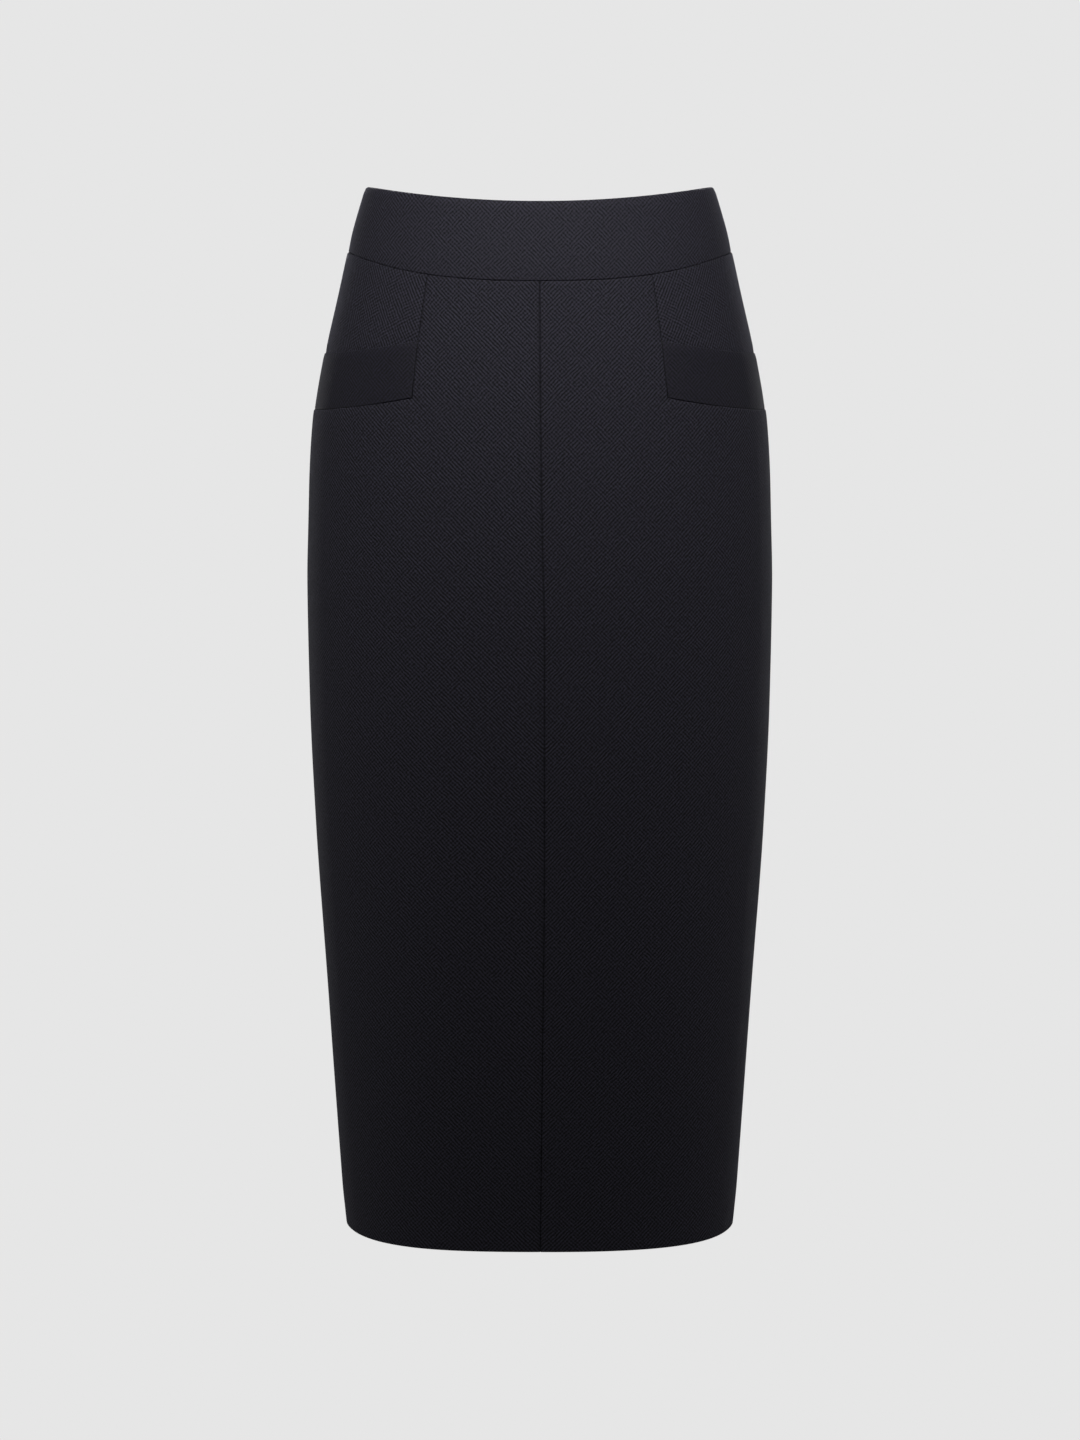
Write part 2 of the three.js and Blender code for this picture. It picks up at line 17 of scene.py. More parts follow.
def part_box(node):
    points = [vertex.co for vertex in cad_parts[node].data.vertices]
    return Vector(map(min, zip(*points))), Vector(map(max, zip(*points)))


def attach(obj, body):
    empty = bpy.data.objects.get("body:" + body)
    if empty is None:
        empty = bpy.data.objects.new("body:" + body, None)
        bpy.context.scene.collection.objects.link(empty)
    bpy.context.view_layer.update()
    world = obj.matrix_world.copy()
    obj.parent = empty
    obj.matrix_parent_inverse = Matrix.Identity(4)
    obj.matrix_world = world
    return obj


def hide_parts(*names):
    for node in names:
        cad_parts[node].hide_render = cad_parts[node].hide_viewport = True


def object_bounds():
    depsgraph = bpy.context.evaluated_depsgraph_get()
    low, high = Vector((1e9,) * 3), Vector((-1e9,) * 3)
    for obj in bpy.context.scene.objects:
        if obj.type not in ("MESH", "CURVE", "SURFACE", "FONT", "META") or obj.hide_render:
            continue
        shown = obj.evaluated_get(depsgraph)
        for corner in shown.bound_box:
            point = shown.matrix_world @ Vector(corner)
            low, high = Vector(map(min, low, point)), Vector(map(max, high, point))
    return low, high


bl_info = {
    "name": "Pencil Skirt",
    "version": (1, 0, 0),
    "blender": (4, 5, 0),
    "location": "View3D > Sidebar > Pencil Skirt",
    "description": "Dresses a pencil skirt's frame in wool cloth, with its seams, pockets, vent and zip",
    "category": "Object",
}

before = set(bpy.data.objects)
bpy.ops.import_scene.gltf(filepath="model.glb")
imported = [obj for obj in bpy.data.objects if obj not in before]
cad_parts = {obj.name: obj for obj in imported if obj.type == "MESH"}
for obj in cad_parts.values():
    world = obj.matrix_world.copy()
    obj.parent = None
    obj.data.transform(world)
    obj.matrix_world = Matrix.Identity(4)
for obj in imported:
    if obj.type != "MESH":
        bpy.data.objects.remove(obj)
CAD_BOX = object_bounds()
MM = 0.001
BODY = "skirt"
PULL_BODY = "zip_pull"

# The surface that the cloth lies on, as level sections: squared ellipses with a front and a back half
Section = namedtuple("Section", "level half_width front_depth back_depth front_power back_power")
SECTION_ROWS = (
    (30, 122.0, 88, 88, 2.35, 2.25),
    (0, 131.0, 94, 95, 2.35, 2.25),
    (-40, 140.7, 101, 105, 2.4, 2.3),
    (-85, 151.2, 108, 117.5, 2.45, 2.35),
    (-130, 158.8, 113, 127, 2.5, 2.4),
    (-185, 163.1, 117, 132.5, 2.5, 2.4),
    (-250, 165.4, 119, 132.5, 2.5, 2.4),
    (-330, 164.5, 119, 127, 2.55, 2.45),
    (-420, 161.1, 117, 120, 2.6, 2.5),
    (-510, 155.4, 114, 114, 2.7, 2.5),
    (-610, 148.8, 111, 109, 2.8, 2.55),
    (-710, 142.2, 108, 105, 2.9, 2.6),
)
SECTIONS = [Section(*row) for row in SECTION_ROWS]

# Lines on the body: from a level at centre front or back, how far each climbs to the side seam
Climb = namedtuple("Climb", "centre rise power")
TOP_EDGE = Climb(18.6, 11.4, 2)
WAIST_SEAM = Climb(-35, 20, 2.6)
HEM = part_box("front_left")[0].z / MM
VENT_HEIGHT = 200
VENT_TOP = HEM + VENT_HEIGHT

# The pocket: its inner end as a share of the way from centre front to side seam, and its two lines
POCKET = 0.4
Drop = namedtuple("Drop", "inner drop power")
BAND_TOP = Drop(-75, 10.5, 2.4)
BAND_FOOT = Drop(-113.7, 10.9, 2.4)

# How far each layer stands out from the body surface
WAISTBAND_OUT = 0.4
WAISTBAND_THICK = 2.2
WAISTBAND_SETTLED = 0.45
BAND_OUT = (0.15, 0.75)
BAND_THICK = 0.9
BAND_CLOTH = 0.4
LIP_OUT = 1.5
LIP_FADE = 100
LAYER_GAP = 0.12
SIDE_FADE_FROM = 0.93
SIDE_FADE_KEPT = 0.25

# Where the centre-front seam wanders off the middle, to the wearer's left: levels, and how far
WANDER_LEVELS = (-700, -563, -425, -287, -190, -90, -35)
WANDER = (0.5, 2.0, 3.3, 3.3, 1.4, 0.3, 0.0)

# Soft troughs, or ridges where the depth is negative, that are pressed or dragged into the panels: the
# distances from the centre line and the levels of both ends
Crease = namedtuple("Crease", "half hand start_across start_level end_across end_level depth width")
CREASE_ROWS = (
    ("front", -1, 1.5, -645, 23, -692, 1.3, 3.8),
    ("front", 1, 1.5, -648, 25, -688, 1.1, 4.2),
    ("front", -1, 8, -650, 34, -696, -0.35, 6.0),
    ("front", 1, 9, -655, 36, -694, -0.3, 6.5),
    ("front", -1, 87, -114, 86, -136, 0.55, 2.6),
    ("front", 1, 87, -114, 85.5, -133, 0.5, 2.8),
    ("front", -1, 82, -119, 66, -139, -0.3, 5.0),
    ("front", 1, 82, -119, 68, -136, -0.25, 5.0),
    ("back", 1, 6, -508, 40, -470, 0.7, 5.5),
    ("back", -1, 5, -500, 46, -455, 0.6, 6.5),
    ("back", 1, 18, -330, 92, -312, 0.45, 9.0),
    ("back", -1, 14, -342, 84, -326, 0.5, 8.0),
    ("back", -1, 4, -165, 12, -196, 0.6, 4.0),
    ("back", 1, 4, -166, 15, -203, 0.5, 4.6),
)
CREASES = [Crease(*row) for row in CREASE_ROWS]
# A crease bows by a share of its length, is deepest from here along it, and fades out at both ends
CREASE_BOW = 0.06
CREASE_MIDDLE, CREASE_CORE, CREASE_FADE = 0.42, 0.3, 0.22

# Wool finishes: how much one diagonal of the weave shows over the other, how strongly the yarns stand
# out, the settings with their colours, the roughness, and the share of the sheen. The waistband is cut
# across, so both diagonals show alike, and the pocket bands are pressed hard, and so smoother and darker
Wool = namedtuple("Wool", "name diagonal contrast light dark roughness bloom")
PANEL_WOOL = Wool("worsted_birdseye_panels", 0.6, 1.15, "light_yarn", "dark_yarn", 0.82, 1.0)
WAISTBAND_WOOL = Wool("worsted_birdseye_waistband", 0.0, 0.85, "light_yarn", "dark_yarn", 0.8, 1.0)
BAND_YARNS = ("band_light_yarn", "band_dark_yarn")
POCKET_WOOL = Wool("worsted_pressed_pocket_bands", 0.1, 0.95, *BAND_YARNS, 0.68, 0.5)

# The sheets' cuts: the rectangle that holds each one in metres, its flat area, and how it is held
Cut = namedtuple("Cut", "wool flat area held slot", defaults=("hung", "wool_cloth"))
CUTS = {
    "waistband_front": Cut(WAISTBAND_WOOL, (0.4, 0.13), 0.042, "folded"),
    "waistband_back": Cut(WAISTBAND_WOOL, (0.2, 0.13), 0.022, "folded"),
    "front": Cut(PANEL_WOOL, (0.225, 0.715), 0.1505),
    "yoke": Cut(PANEL_WOOL, (0.135, 0.125), 0.0145),
    "pocket_band": Cut(POCKET_WOOL, (0.135, 0.08), 0.0098, "folded", "pocket_band_cloth"),
    "back": Cut(PANEL_WOOL, (0.26, 0.735), 0.167),
}
HANDS = {"left": 1, "right": -1}

# Soft studio lights, in metres and watts, with their beams' angles in degrees. One off the middle has a
# twin on the other side
Light = namedtuple("Light", "name place target size power spread", defaults=(180,))
LIGHTS = (
    Light("key", (0, -0.9, 0.9), (0, -0.1, 0.08), (0.3, 0.3), 0.62, 40),
    Light("side_strip", (1.2, -0.1, -0.2), (0, 0, -0.3), (0.3, 1.8), 1.2),
    Light("rim_strip", (0.81, 1.13, -0.33), (0.16, 0, -0.33), (0.1, 0.9), 0.065, 40),
    Light("back_key", (0, 0.95, 0.9), (0, 0.1, 0.06), (0.3, 0.3), 0.62, 40),
)
WORLD_STRENGTH = 0.142
CAMERA_PLACE = (0.00014, -2.28, -0.034)
CAMERA_DOWN = 7.84
FLOOR_DROP = 0.35
FLOOR_RADIUS, DOME_RADIUS = 6.0, 7.0


def linear(hex_colour, alpha=1.0):
    """An sRGB hex colour as the linear colour that Blender's sockets take."""
    parts = [int(hex_colour[i : i + 2], 16) / 255 for i in (1, 3, 5)]
    curve = [c / 12.92 if c <= 0.04045 else ((c + 0.055) / 1.055) ** 2.4 for c in parts]
    return (*curve, alpha)


def settings():
    """The panel's values."""
    return bpy.context.scene.pencil_skirt


# Body surface


def monotone(levels, values):
    """A smooth curve through the values that never overshoots them, for rising levels."""
    x, y = np.array(levels, float), np.array(values, float)
    h = np.diff(x)
    slope = np.diff(y) / h
    tangent = np.zeros_like(y)
    tangent[0], tangent[-1] = slope[0], slope[-1]
    for i in range(1, len(y) - 1):
        if slope[i - 1] * slope[i] > 0:
            before, after = 2 * h[i] + h[i - 1], h[i] + 2 * h[i - 1]
            tangent[i] = (before + after) / (before / slope[i - 1] + after / slope[i])

    def at(level):
        i = np.clip(np.searchsorted(x, level, side="right") - 1, 0, len(h) - 1)
        t = (level - x[i]) / h[i]
        return (
            (2 * t**3 - 3 * t**2 + 1) * y[i]
            + (t**3 - 2 * t**2 + t) * h[i] * tangent[i]
            + (3 * t**2 - 2 * t**3) * y[i + 1]
            + (t**3 - t**2) * h[i] * tangent[i + 1]
        )

    return at


RISING = SECTIONS[::-1]
half_width_at = monotone([s.level for s in RISING], [s.half_width for s in RISING])
wander_at = monotone(WANDER_LEVELS, WANDER)


class Half:
    """The front or the back half of the body surface, as points at even shares of the way round."""

    SHARES = 300
    TURNS = 1800

    def __init__(self, name, side):
        levels = [s.level for s in RISING]
        self.side = side
        self.depth_at = monotone(levels, [getattr(s, f"{name}_depth") for s in RISING])
        self.power_at = monotone(levels, [getattr(s, f"{name}_power") for s in RISING])
        self.levels = np.arange(levels[0] - 2.0, levels[-1] + 3.0)
        turn = np.linspace(0, pi / 2, self.TURNS)
        share = np.linspace(0, 1, self.SHARES + 1)
        self.length = np.zeros(len(self.levels))
        self.x, self.y = (np.zeros((len(self.levels), self.SHARES + 1)) for _ in range(2))
        for i, level in enumerate(self.levels):
            power = self.power_at(level)
            x = half_width_at(level) * np.sin(turn) ** (2 / power)
            y = self.depth_at(level) * np.clip(np.cos(turn), 0, 1) ** (2 / power)
            along = np.concatenate([[0], np.cumsum(np.hypot(np.diff(x), np.diff(y)))])
            self.length[i] = along[-1]
            self.x[i] = np.interp(share * along[-1], along, x)
            self.y[i] = np.interp(share * along[-1], along, y)

    def length_at(self, level):
        return np.interp(level, self.levels, self.length)

    def point(self, level, distance, outside):
        """Points at signed distances from the centre line, moved out along the level normal."""
        share = np.clip(np.abs(distance) / self.length_at(level), 0, 1) * self.SHARES
        i = np.clip((level - self.levels[0]).astype(int), 0, len(self.levels) - 2)
        j = np.clip(share.astype(int), 0, self.SHARES - 1)
        fi, fj = level - self.levels[i], share - j

        def between(table):
            low = table[i, j] * (1 - fj) + table[i, j + 1] * fj
            high = table[i + 1, j] * (1 - fj) + table[i + 1, j + 1] * fj
            return low * (1 - fi) + high * fi

        x, y = between(self.x), between(self.y)
        width, depth, power = half_width_at(level), self.depth_at(level), self.power_at(level)
        nx = np.clip(x / width, 0, 1) ** (power - 1) / width
        ny = np.clip(y / depth, 0, 1) ** (power - 1) / depth
        size = np.hypot(nx, ny)
        hand = np.where(distance < 0, -1, 1)
        out_x, out_y = x + nx / size * outside, y + ny / size * outside
        return np.stack([hand * out_x, self.side * out_y, level], axis=-1)


HALVES = {"front": Half("front", -1), "back": Half("back", 1)}


def climb(line, half, share, offset):
    """The level of a climbing line at a column."""
    body = HALVES[half]
    level = np.full_like(share, line.centre)
    distance = np.clip(np.abs(share * body.length_at(level) + offset), 0, body.length_at(level))
    across = np.abs(body.point(level, distance, 0 * level)[..., 0])
    return line.centre + line.rise * (across / half_width_at(level)) ** line.power


def drop(line, share, offset=0):
    """The level of a pocket line at a column."""
    reached = share + offset / HALVES["front"].length_at(line.inner)
    t = np.clip((reached - POCKET) / (1 - POCKET), 0, 1)
    return line.inner - line.drop * (1 - (1 - t) ** line.power)


def smooth(value):
    t = np.clip(value, 0, 1)
    return t * t * (3 - 2 * t)


def side_fade(share):
    return 1 - (1 - SIDE_FADE_KEPT) * smooth((share - SIDE_FADE_FROM) / (1 - SIDE_FADE_FROM))


def band_out(share):
    ramp = smooth((share - POCKET) / 0.12) * side_fade(share)
    return BAND_OUT[0] + (BAND_OUT[1] - BAND_OUT[0]) * ramp


def lip_out(share, level):
    below = np.maximum(0, drop(BAND_FOOT, share) - level)
    ramp = smooth((share - POCKET) / 0.2) * side_fade(share)
    return LIP_OUT * ramp * (1 - smooth(below / LIP_FADE))


# Cloth grids

# A column is a share of the way to the side seam plus a distance. A row lies between two of a piece's
# lines, plus a distance, and turn is how far round the fold it lies, from 0 to pi.
Column = namedtuple("Column", "share offset")
Row = namedtuple("Row", "first second t offset turn", defaults=(0.0, 0.0))
ROLL = 1.0
PAST = 1.3
DRAWN_IN = 0.28
# How far two cloths run into each other inside a seam, so that no light shows through it
SEAM_LAP = 0.01
# How far from a seam the rows or columns lie that shape its edge. The first goes past it, straight in
SEAM = (-PAST, 0.0, 0.02, 0.08, 0.2, 0.38, 0.65, 1.0, 1.8, 3.2, 5.5)
MET = SEAM[1:]
SHY = SEAM[2:]


def spread(low, high, step):
    """Even values about a step apart from low to high, both kept."""
    count = max(1, round(abs(high - low) / step))
    return [low + (high - low) * i / count for i in range(count + 1)]


def columns_between(low, high, step, near=SEAM, far=SEAM, length=205):
    """Columns from one seam to another, close together beside both."""
    edge = (SEAM[-1] + step * 0.6) / length
    columns = [Column(low, d) for d in near]
    columns += [Column(s, 0.0) for s in spread(low + edge, high - edge, step / length)]
    return columns + [Column(high, -d) for d in reversed(far)]


def rows_between(first, second, height, step, near=SEAM, far=SEAM):
    """Rows from one of a piece's lines down to the next, close together beside seams. An end with no
    seam is left to the fold there."""
    edge = (SEAM[-1] + step * 0.6) / height
    middle = spread(edge if near else 0.0, 1 - edge if far else 1.0, step / height)
    rows = [Row(first, second, 0.0, -d) for d in near]
    rows += [Row(first, second, t) for t in middle[0 if near else 1 : None if far else -1]]
    return rows + [Row(first, second, 1.0, d) for d in reversed(far)]


def fold_rows(line, steps=6):
    """Rows round a fold at one of a piece's lines."""
    return [Row(line, line, 0.0, 0.0, pi * i / steps) for i in range(steps + 1)]


def turned_in(*gaps, radius=ROLL):
    """How far cloth dips as a quarter round into seams at these distances, and is drawn in by them."""
    near = np.clip(sum(np.clip(1 - gap / radius, 0, 1) ** 2 for gap in gaps), 0, 1)
    drawn = sum(DRAWN_IN * np.exp(-np.maximum(gap, 0) / 2.6) for gap in gaps)
    return radius * (1 - np.sqrt(1 - near)) + drawn


def past(*gaps):
    """How far cloth goes straight in where it is past a seam."""
    return sum(np.maximum(-gap, 0) for gap in gaps)


def painted_seam_shade(gap, width=0.4):
    """From 0 to 1, how much painted shade darkens cloth near a seam's bottom, for the shadow in its
    groove.
    """
    return np.exp(-((np.maximum(gap, 0) / width) ** 2))


# How much a hem's fold is wider than its cloth
FOLD_SLACK = 0.15
# The hem's corner at a side seam: how far round it starts, how far it is drawn in and from what height,
# and how far it drops
HEM_CORNER = 45
HEM_TUCK = 4.2
HEM_TUCK_HEIGHT = 28
HEM_DROP = 1.2
# Below this level the side seams pull in a little, over this height
PULL_LEVEL = -470
PULL_HEIGHT = 80
PULL = 0.7
# The bulk inside a side seam, and how far it reaches round and down
SEAM_BULK = 0.6
BULK_ROUND, BULK_DOWN = 20, 50
# The centre-front seam's layers are pressed to the wearer's right; the cloth over them gets painted
# shade, for the shade beside their ridge
ALLOWANCE_SHADE = 0.3


def side_bulk(side_gap, waist_gap):
    """How far the layers inside a side seam push it out, just below the waistband."""
    return SEAM_BULK * smooth(1 - side_gap / BULK_ROUND) * smooth(1 - waist_gap / BULK_DOWN)


def hem_corner(side_gap):
    """From 0 to 1 as the side seam comes near, where the hem's corner is rounded off."""
    return smooth(1 - side_gap / HEM_CORNER)


def hem_tuck(side_gap, level):
    """How far the lower end of a side seam is drawn in."""
    tuck = HEM_TUCK * np.clip(1 - (level - HEM) / HEM_TUCK_HEIGHT, 0, 1) ** 2
    return hem_corner(side_gap) * (tuck + PULL * smooth((PULL_LEVEL - level) / PULL_HEIGHT))


def cloth_thickness():
    return settings().cloth_thickness / MM


def fold_radius():
    return cloth_thickness() + FOLD_SLACK


def hem_line(body, share, offset, radius):
    """The level of the hem's fold at a column."""
    return HEM + radius - HEM_DROP * hem_corner(body.length_at(HEM) * (1 - share) - offset)


def hem_rows():
    """Rows round the hem's fold and up its turned-up inside."""
    turn_up = settings().hem_height / MM
    return fold_rows(2) + [Row(2, 2, 0.0, d, pi) for d in (1, 8, 16, 24, turn_up - 1)]


def down_panel(base, turn, radius):
    """The weave's coordinate down a panel, round the hem's fold and up its inside."""
    inner = 2 * (HEM + radius) - base - pi * radius
    return np.where(turn >= pi, inner, base - radius * turn)


# The waves beside a seam: the shortest one's length, how much longer each next one is, and how many
PUCKER_LENGTH = 9.5
PUCKER_STEP = 5.3
PUCKER_WAVES = 4


def pucker(along, gap, seed, height=0.1, reach=4.5):
    """Small uneven waves that sewing leaves beside a seam."""
    wave = 0
    for k in range(PUCKER_WAVES):
        turn = along * 2 * pi / (PUCKER_LENGTH + PUCKER_STEP * k) + seed * (k + 1.3)
        wave = wave + math.sin(seed * 1.7 + k) * np.sin(turn)
    return height * wave * np.exp(-np.maximum(gap, 0) / reach)


def creases(half, hand, across, level):
    """How far the troughs of one panel lie in, at each of its points."""
    depth = np.zeros_like(level)
    for c in CREASES:
        if (c.half, c.hand) != (half, hand):
            continue
        run = np.array([c.end_across - c.start_across, c.end_level - c.start_level], float)
        size = math.hypot(*run)
        dx, dz = across - c.start_across, level - c.start_level
        t = (dx * run[0] + dz * run[1]) / size**2
        aside = (dx * run[1] - dz * run[0]) / size
        bend = aside - CREASE_BOW * size * np.sin(pi * np.clip(t, 0, 1))
        past_core = np.clip(np.abs(t - CREASE_MIDDLE) - CREASE_CORE, 0, None)
        along = np.exp(-((past_core / CREASE_FADE) ** 2))
        depth += c.depth * along * np.exp(-((bend / c.width) ** 2))
    return depth


EASE_SEED = {"front": 2.0, "back": 4.0}
EASE_FADE = 30
BROAD_WAVE, SLANTING_WAVE = 0.22, 0.16


def ease(half, signed, level):
    """Long shallow waves all over hanging cloth, but for the waistband and the side seams."""
    seed = EASE_SEED[half]
    wave = BROAD_WAVE * np.sin(signed / 31 + seed) * np.sin(level / 74 + seed * 2.1)
    wave += SLANTING_WAVE * np.sin(signed / 17 - level / 120 + seed * 3.7)
    side_gap = HALVES[half].length_at(level) - np.abs(signed)
    return wave * smooth(side_gap / EASE_FADE) * smooth((WAIST_SEAM.centre - level) / EASE_FADE)


def cloth(node, cut, thickness, columns, rows, place, kept=None, inside_out=False):
    """A sheet of cloth in a CAD node's place, made from a grid. place(column table, row table) gives its
    points and its weave's coordinates, both in millimetres, and the painted seam shade there, from 0 to
    1.
    kept(column, next column, row) says which cells the cut keeps. inside_out says that the placing turns
    the grid over, so its faces are turned back."""
    bm = bmesh.new()
    bmesh.ops.create_grid(bm, x_segments=len(columns) - 1, y_segments=len(rows) - 1, size=1.0)
    bm.verts.ensure_lookup_table()
    column = [round((v.co.x + 1) / 2 * (len(columns) - 1)) for v in bm.verts]
    row = [round((1 - v.co.y) / 2 * (len(rows) - 1)) for v in bm.verts]
    doomed = []
    for face in bm.faces if kept else ():
        low = min(column[v.index] for v in face.verts)
        upper = min(row[v.index] for v in face.verts)
        if not kept(columns[low], columns[low + 1], rows[upper]):
            doomed.append(face)
    points, weave, shade = place(np.array(columns, float)[column], np.array(rows, float)[row])
    uv = bm.loops.layers.uv.new("weave")
    # The painted seam shade, kept on the vertices for the material to darken the colour with
    seam = bm.verts.layers.float.new("painted_seam_shade")
    for face in bm.faces:
        for loop in face.loops:
            loop[uv].uv = weave[loop.vert.index]
    for vert in bm.verts:
        vert.co = points[vert.index] * MM
        vert[seam] = shade[vert.index]
    bmesh.ops.delete(bm, geom=doomed, context="FACES")
    if inside_out:
        bmesh.ops.reverse_faces(bm, faces=bm.faces)
    piece = as_object(f"{node}_cloth", bm)
    solidify = piece.modifiers.new("thickness", "SOLIDIFY")
    solidify.thickness = thickness * MM
    solidify.offset = -1
    piece.data.materials.append(worsted(cut.wool))
    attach(piece, BODY)
    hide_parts(node)


def as_object(name, bm):
    """A bmesh as an object with smooth faces."""
    for face in bm.faces:
        face.smooth = True
    mesh = bpy.data.meshes.new(name)
    bm.to_mesh(mesh)
    bm.free()
    made = bpy.data.objects.new(name, mesh)
    bpy.context.scene.collection.objects.link(made)
    return made


def pair(kind, thickness, columns, rows, place, over, kept=None):
    """A left and a right sheet of one kind. over is the hand whose placing turns its grid over."""
    for name, hand in HANDS.items():
        grid = columns[name] if isinstance(columns, dict) else columns
        side = partial(place, hand)
        cloth(f"{kind}_{name}", CUTS[kind], thickness, grid, rows, side, kept, hand == over)


# Materials


def plug(tree, node, sockets):
    """Sets a node's sockets, or links them where they are given an output or a node with one."""
    for socket, source in dict(sockets).items():
        if isinstance(source, bpy.types.Node):
            source = source.outputs[0]
        if isinstance(source, bpy.types.NodeSocket):
            tree.links.new(source, node.inputs[socket])
        else:
            node.inputs[socket].default_value = source


def add(tree, kind, sockets=(), **values):
    """Adds a node with its settings and links."""
    node = tree.nodes.new(f"ShaderNode{kind}")
    for key, value in values.items():
        setattr(node, key, value)
    plug(tree, node, sockets)
    return node


def material(name):
    """An empty material with its shader already linked to the output."""
    made = bpy.data.materials.new(name)
    made.use_nodes = True
    tree = made.node_tree
    tree.nodes.clear()
    shader = add(tree, "BsdfPrincipled")
    output = add(tree, "OutputMaterial", {"Surface": shader})
    output.target = "ALL"
    return made, tree, shader


def placed_material(name):
    """The same, with the piece's own coordinates."""
    made, tree, shader = material(name)
    return made, tree, shader, add(tree, "TexCoord").outputs["Object"]


# How the yarns drift out of line: sizes of the patches, and how far they move, in millimetres
WEAVE_DRIFTS = ((14, 1.1), (4.5, 1.3))
# Sizes of the patches in which the other diagonal shows, of those with a fainter weave, and of the slubs
DIAGONAL_PATCH, FAINT_PATCH, SLUB = 9, 26, 2
FAINTEST = 0.75
SLUB_HEIGHT = 0.6
YARN_HEIGHT = 0.16
# How dark the painted seam shade makes the wool at a seam's bottom
SEAM_DARKENING = 0.5
# How much of the raised yarns' colour shows over the whole
LIGHT_SHARE = 0.38


def worsted(wool):
    """Worsted wool in a small staggered bird's-eye weave. Its raised yarn floats are matt, with a faint
    bloom of fibre. The real yarns are too fine to show, so they are drawn coarser."""
    if wool.name in bpy.data.materials:
        return bpy.data.materials[wool.name]
    made, tree, shader = material(wool.name)
    s = settings()
    repeat = s.weave_repeat / MM
    where = add(tree, "UVMap", uv_map="weave").outputs["UV"]
    uneven = where
    for size, reach in WEAVE_DRIFTS:
        drift = add(tree, "TexNoise", {"Vector": where, "Scale": 1 / size, "Detail": 2.0})
        middle = {0: drift.outputs["Color"], 1: (0.5, 0.5, 0.5)}
        offset = add(tree, "VectorMath", middle, operation="SUBTRACT")
        shift = {0: offset, 1: (reach, reach, 0), 2: uneven}
        uneven = add(tree, "VectorMath", shift, operation="MULTIPLY_ADD")
    in_turns = {0: uneven, "Scale": 2 * pi / repeat}
    scaled = add(tree, "VectorMath", in_turns, operation="SCALE")
    parts = add(tree, "SeparateXYZ", {0: scaled})
    across = {0: parts.outputs["X"], 1: parts.outputs["Y"]}
    waves = []
    for operation in ("ADD", "SUBTRACT"):
        phase = add(tree, "Math", across, operation=operation)
        waves.append(add(tree, "Math", {0: phase}, operation="COSINE"))
    turns = add(tree, "TexNoise", {"Vector": where, "Scale": 1 / DIAGONAL_PATCH, "Detail": 1.0})
    turning = {"Value": turns, "From Min": 0.3, "From Max": 0.7, "To Min": wool.diagonal / 2}
    falling = add(tree, "MapRange", turning)
    lattice = add(tree, "Mix", {"Factor": falling, "A": waves[0], "B": waves[1]})
    slubs = {"Vector": where, "Scale": 1 / SLUB, "Detail": 3.0, "Roughness": 0.7}
    yarn = add(tree, "TexNoise", slubs)
    patch = add(tree, "TexNoise", {"Vector": where, "Scale": 1 / FAINT_PATCH, "Detail": 1.0})
    fading = {"Value": patch, "From Min": 0.3, "From Max": 0.7, "To Min": FAINTEST}
    strength = add(tree, "MapRange", fading)
    showing = {0: lattice.outputs["Result"], 1: strength}
    figure = add(tree, "Math", showing, operation="MULTIPLY")
    slubbing = {"Value": yarn, "From Min": 0.25, "From Max": 0.75}
    speck = add(tree, "MapRange", {**slubbing, "To Min": -SLUB_HEIGHT, "To Max": SLUB_HEIGHT})
    height = add(tree, "Math", {0: figure, 1: speck}, operation="ADD")
    half = wool.contrast / 2
    tones = {"To Min": LIGHT_SHARE - half, "To Max": LIGHT_SHARE + half}
    tone = add(tree, "MapRange", {"Value": height, "From Min": -1.0, **tones})
    dark, light = linear(getattr(s, wool.dark)), linear(getattr(s, wool.light))
    yarns = {"Factor": tone, "A": dark, "B": light}
    colour = add(tree, "Mix", yarns, data_type="RGBA")
    relief = {"Height": height, "Strength": 0.55 * wool.contrast, "Distance": YARN_HEIGHT * MM}
    bump = add(tree, "Bump", relief)
    # Painted shade: the vertex attribute mixes the colour towards black near seams, darts, the vent and
    # the pocket bands' feet, for the shadow in their grooves
    seam = add(tree, "Attribute", attribute_name="painted_seam_shade").outputs["Fac"]
    painted_shade_amount = add(tree, "Math", {0: seam, 1: SEAM_DARKENING}, operation="MULTIPLY")
    flat = {"Factor": painted_shade_amount, "A": colour.outputs["Result"], "B": linear("#000000")}
    shaded = add(tree, "Mix", flat, data_type="RGBA")
    finish = {
        "Base Color": shaded.outputs["Result"],
        "Normal": bump.outputs["Normal"],
        "Roughness": wool.roughness,
        "Specular IOR Level": 0.35,
        "Sheen Weight": wool.bloom * s.sheen,
        "Sheen Roughness": 0.3,
        "Sheen Tint": linear("#8f8fa0"),
    }
    plug(tree, shader, finish)
    return made


def enamel():
    """Enamelled zinc, as on a dyed-to-match zip slider: half gloss, with orange peel and rubs."""
    made, tree, shader, where = placed_material("enamelled_zinc")
    peel = add(tree, "TexNoise", {"Vector": where, "Scale": 1 / (0.5 * MM), "Detail": 2.0})
    wear = add(tree, "TexNoise", {"Vector": where, "Scale": 1 / (3 * MM), "Detail": 4.0})
    worn = {"Factor": wear, "A": linear("#1d1d24"), "B": linear("#2b2b34")}
    rubbed = add(tree, "Mix", worn, data_type="RGBA")
    relief = {"Height": peel, "Strength": 0.25, "Distance": 0.05 * MM}
    bump = add(tree, "Bump", relief)
    colour, normal = rubbed.outputs["Result"], bump.outputs["Normal"]
    plug(tree, shader, {"Base Color": colour, "Normal": normal, "Roughness": 0.32, "Metallic": 0.35})
    return made


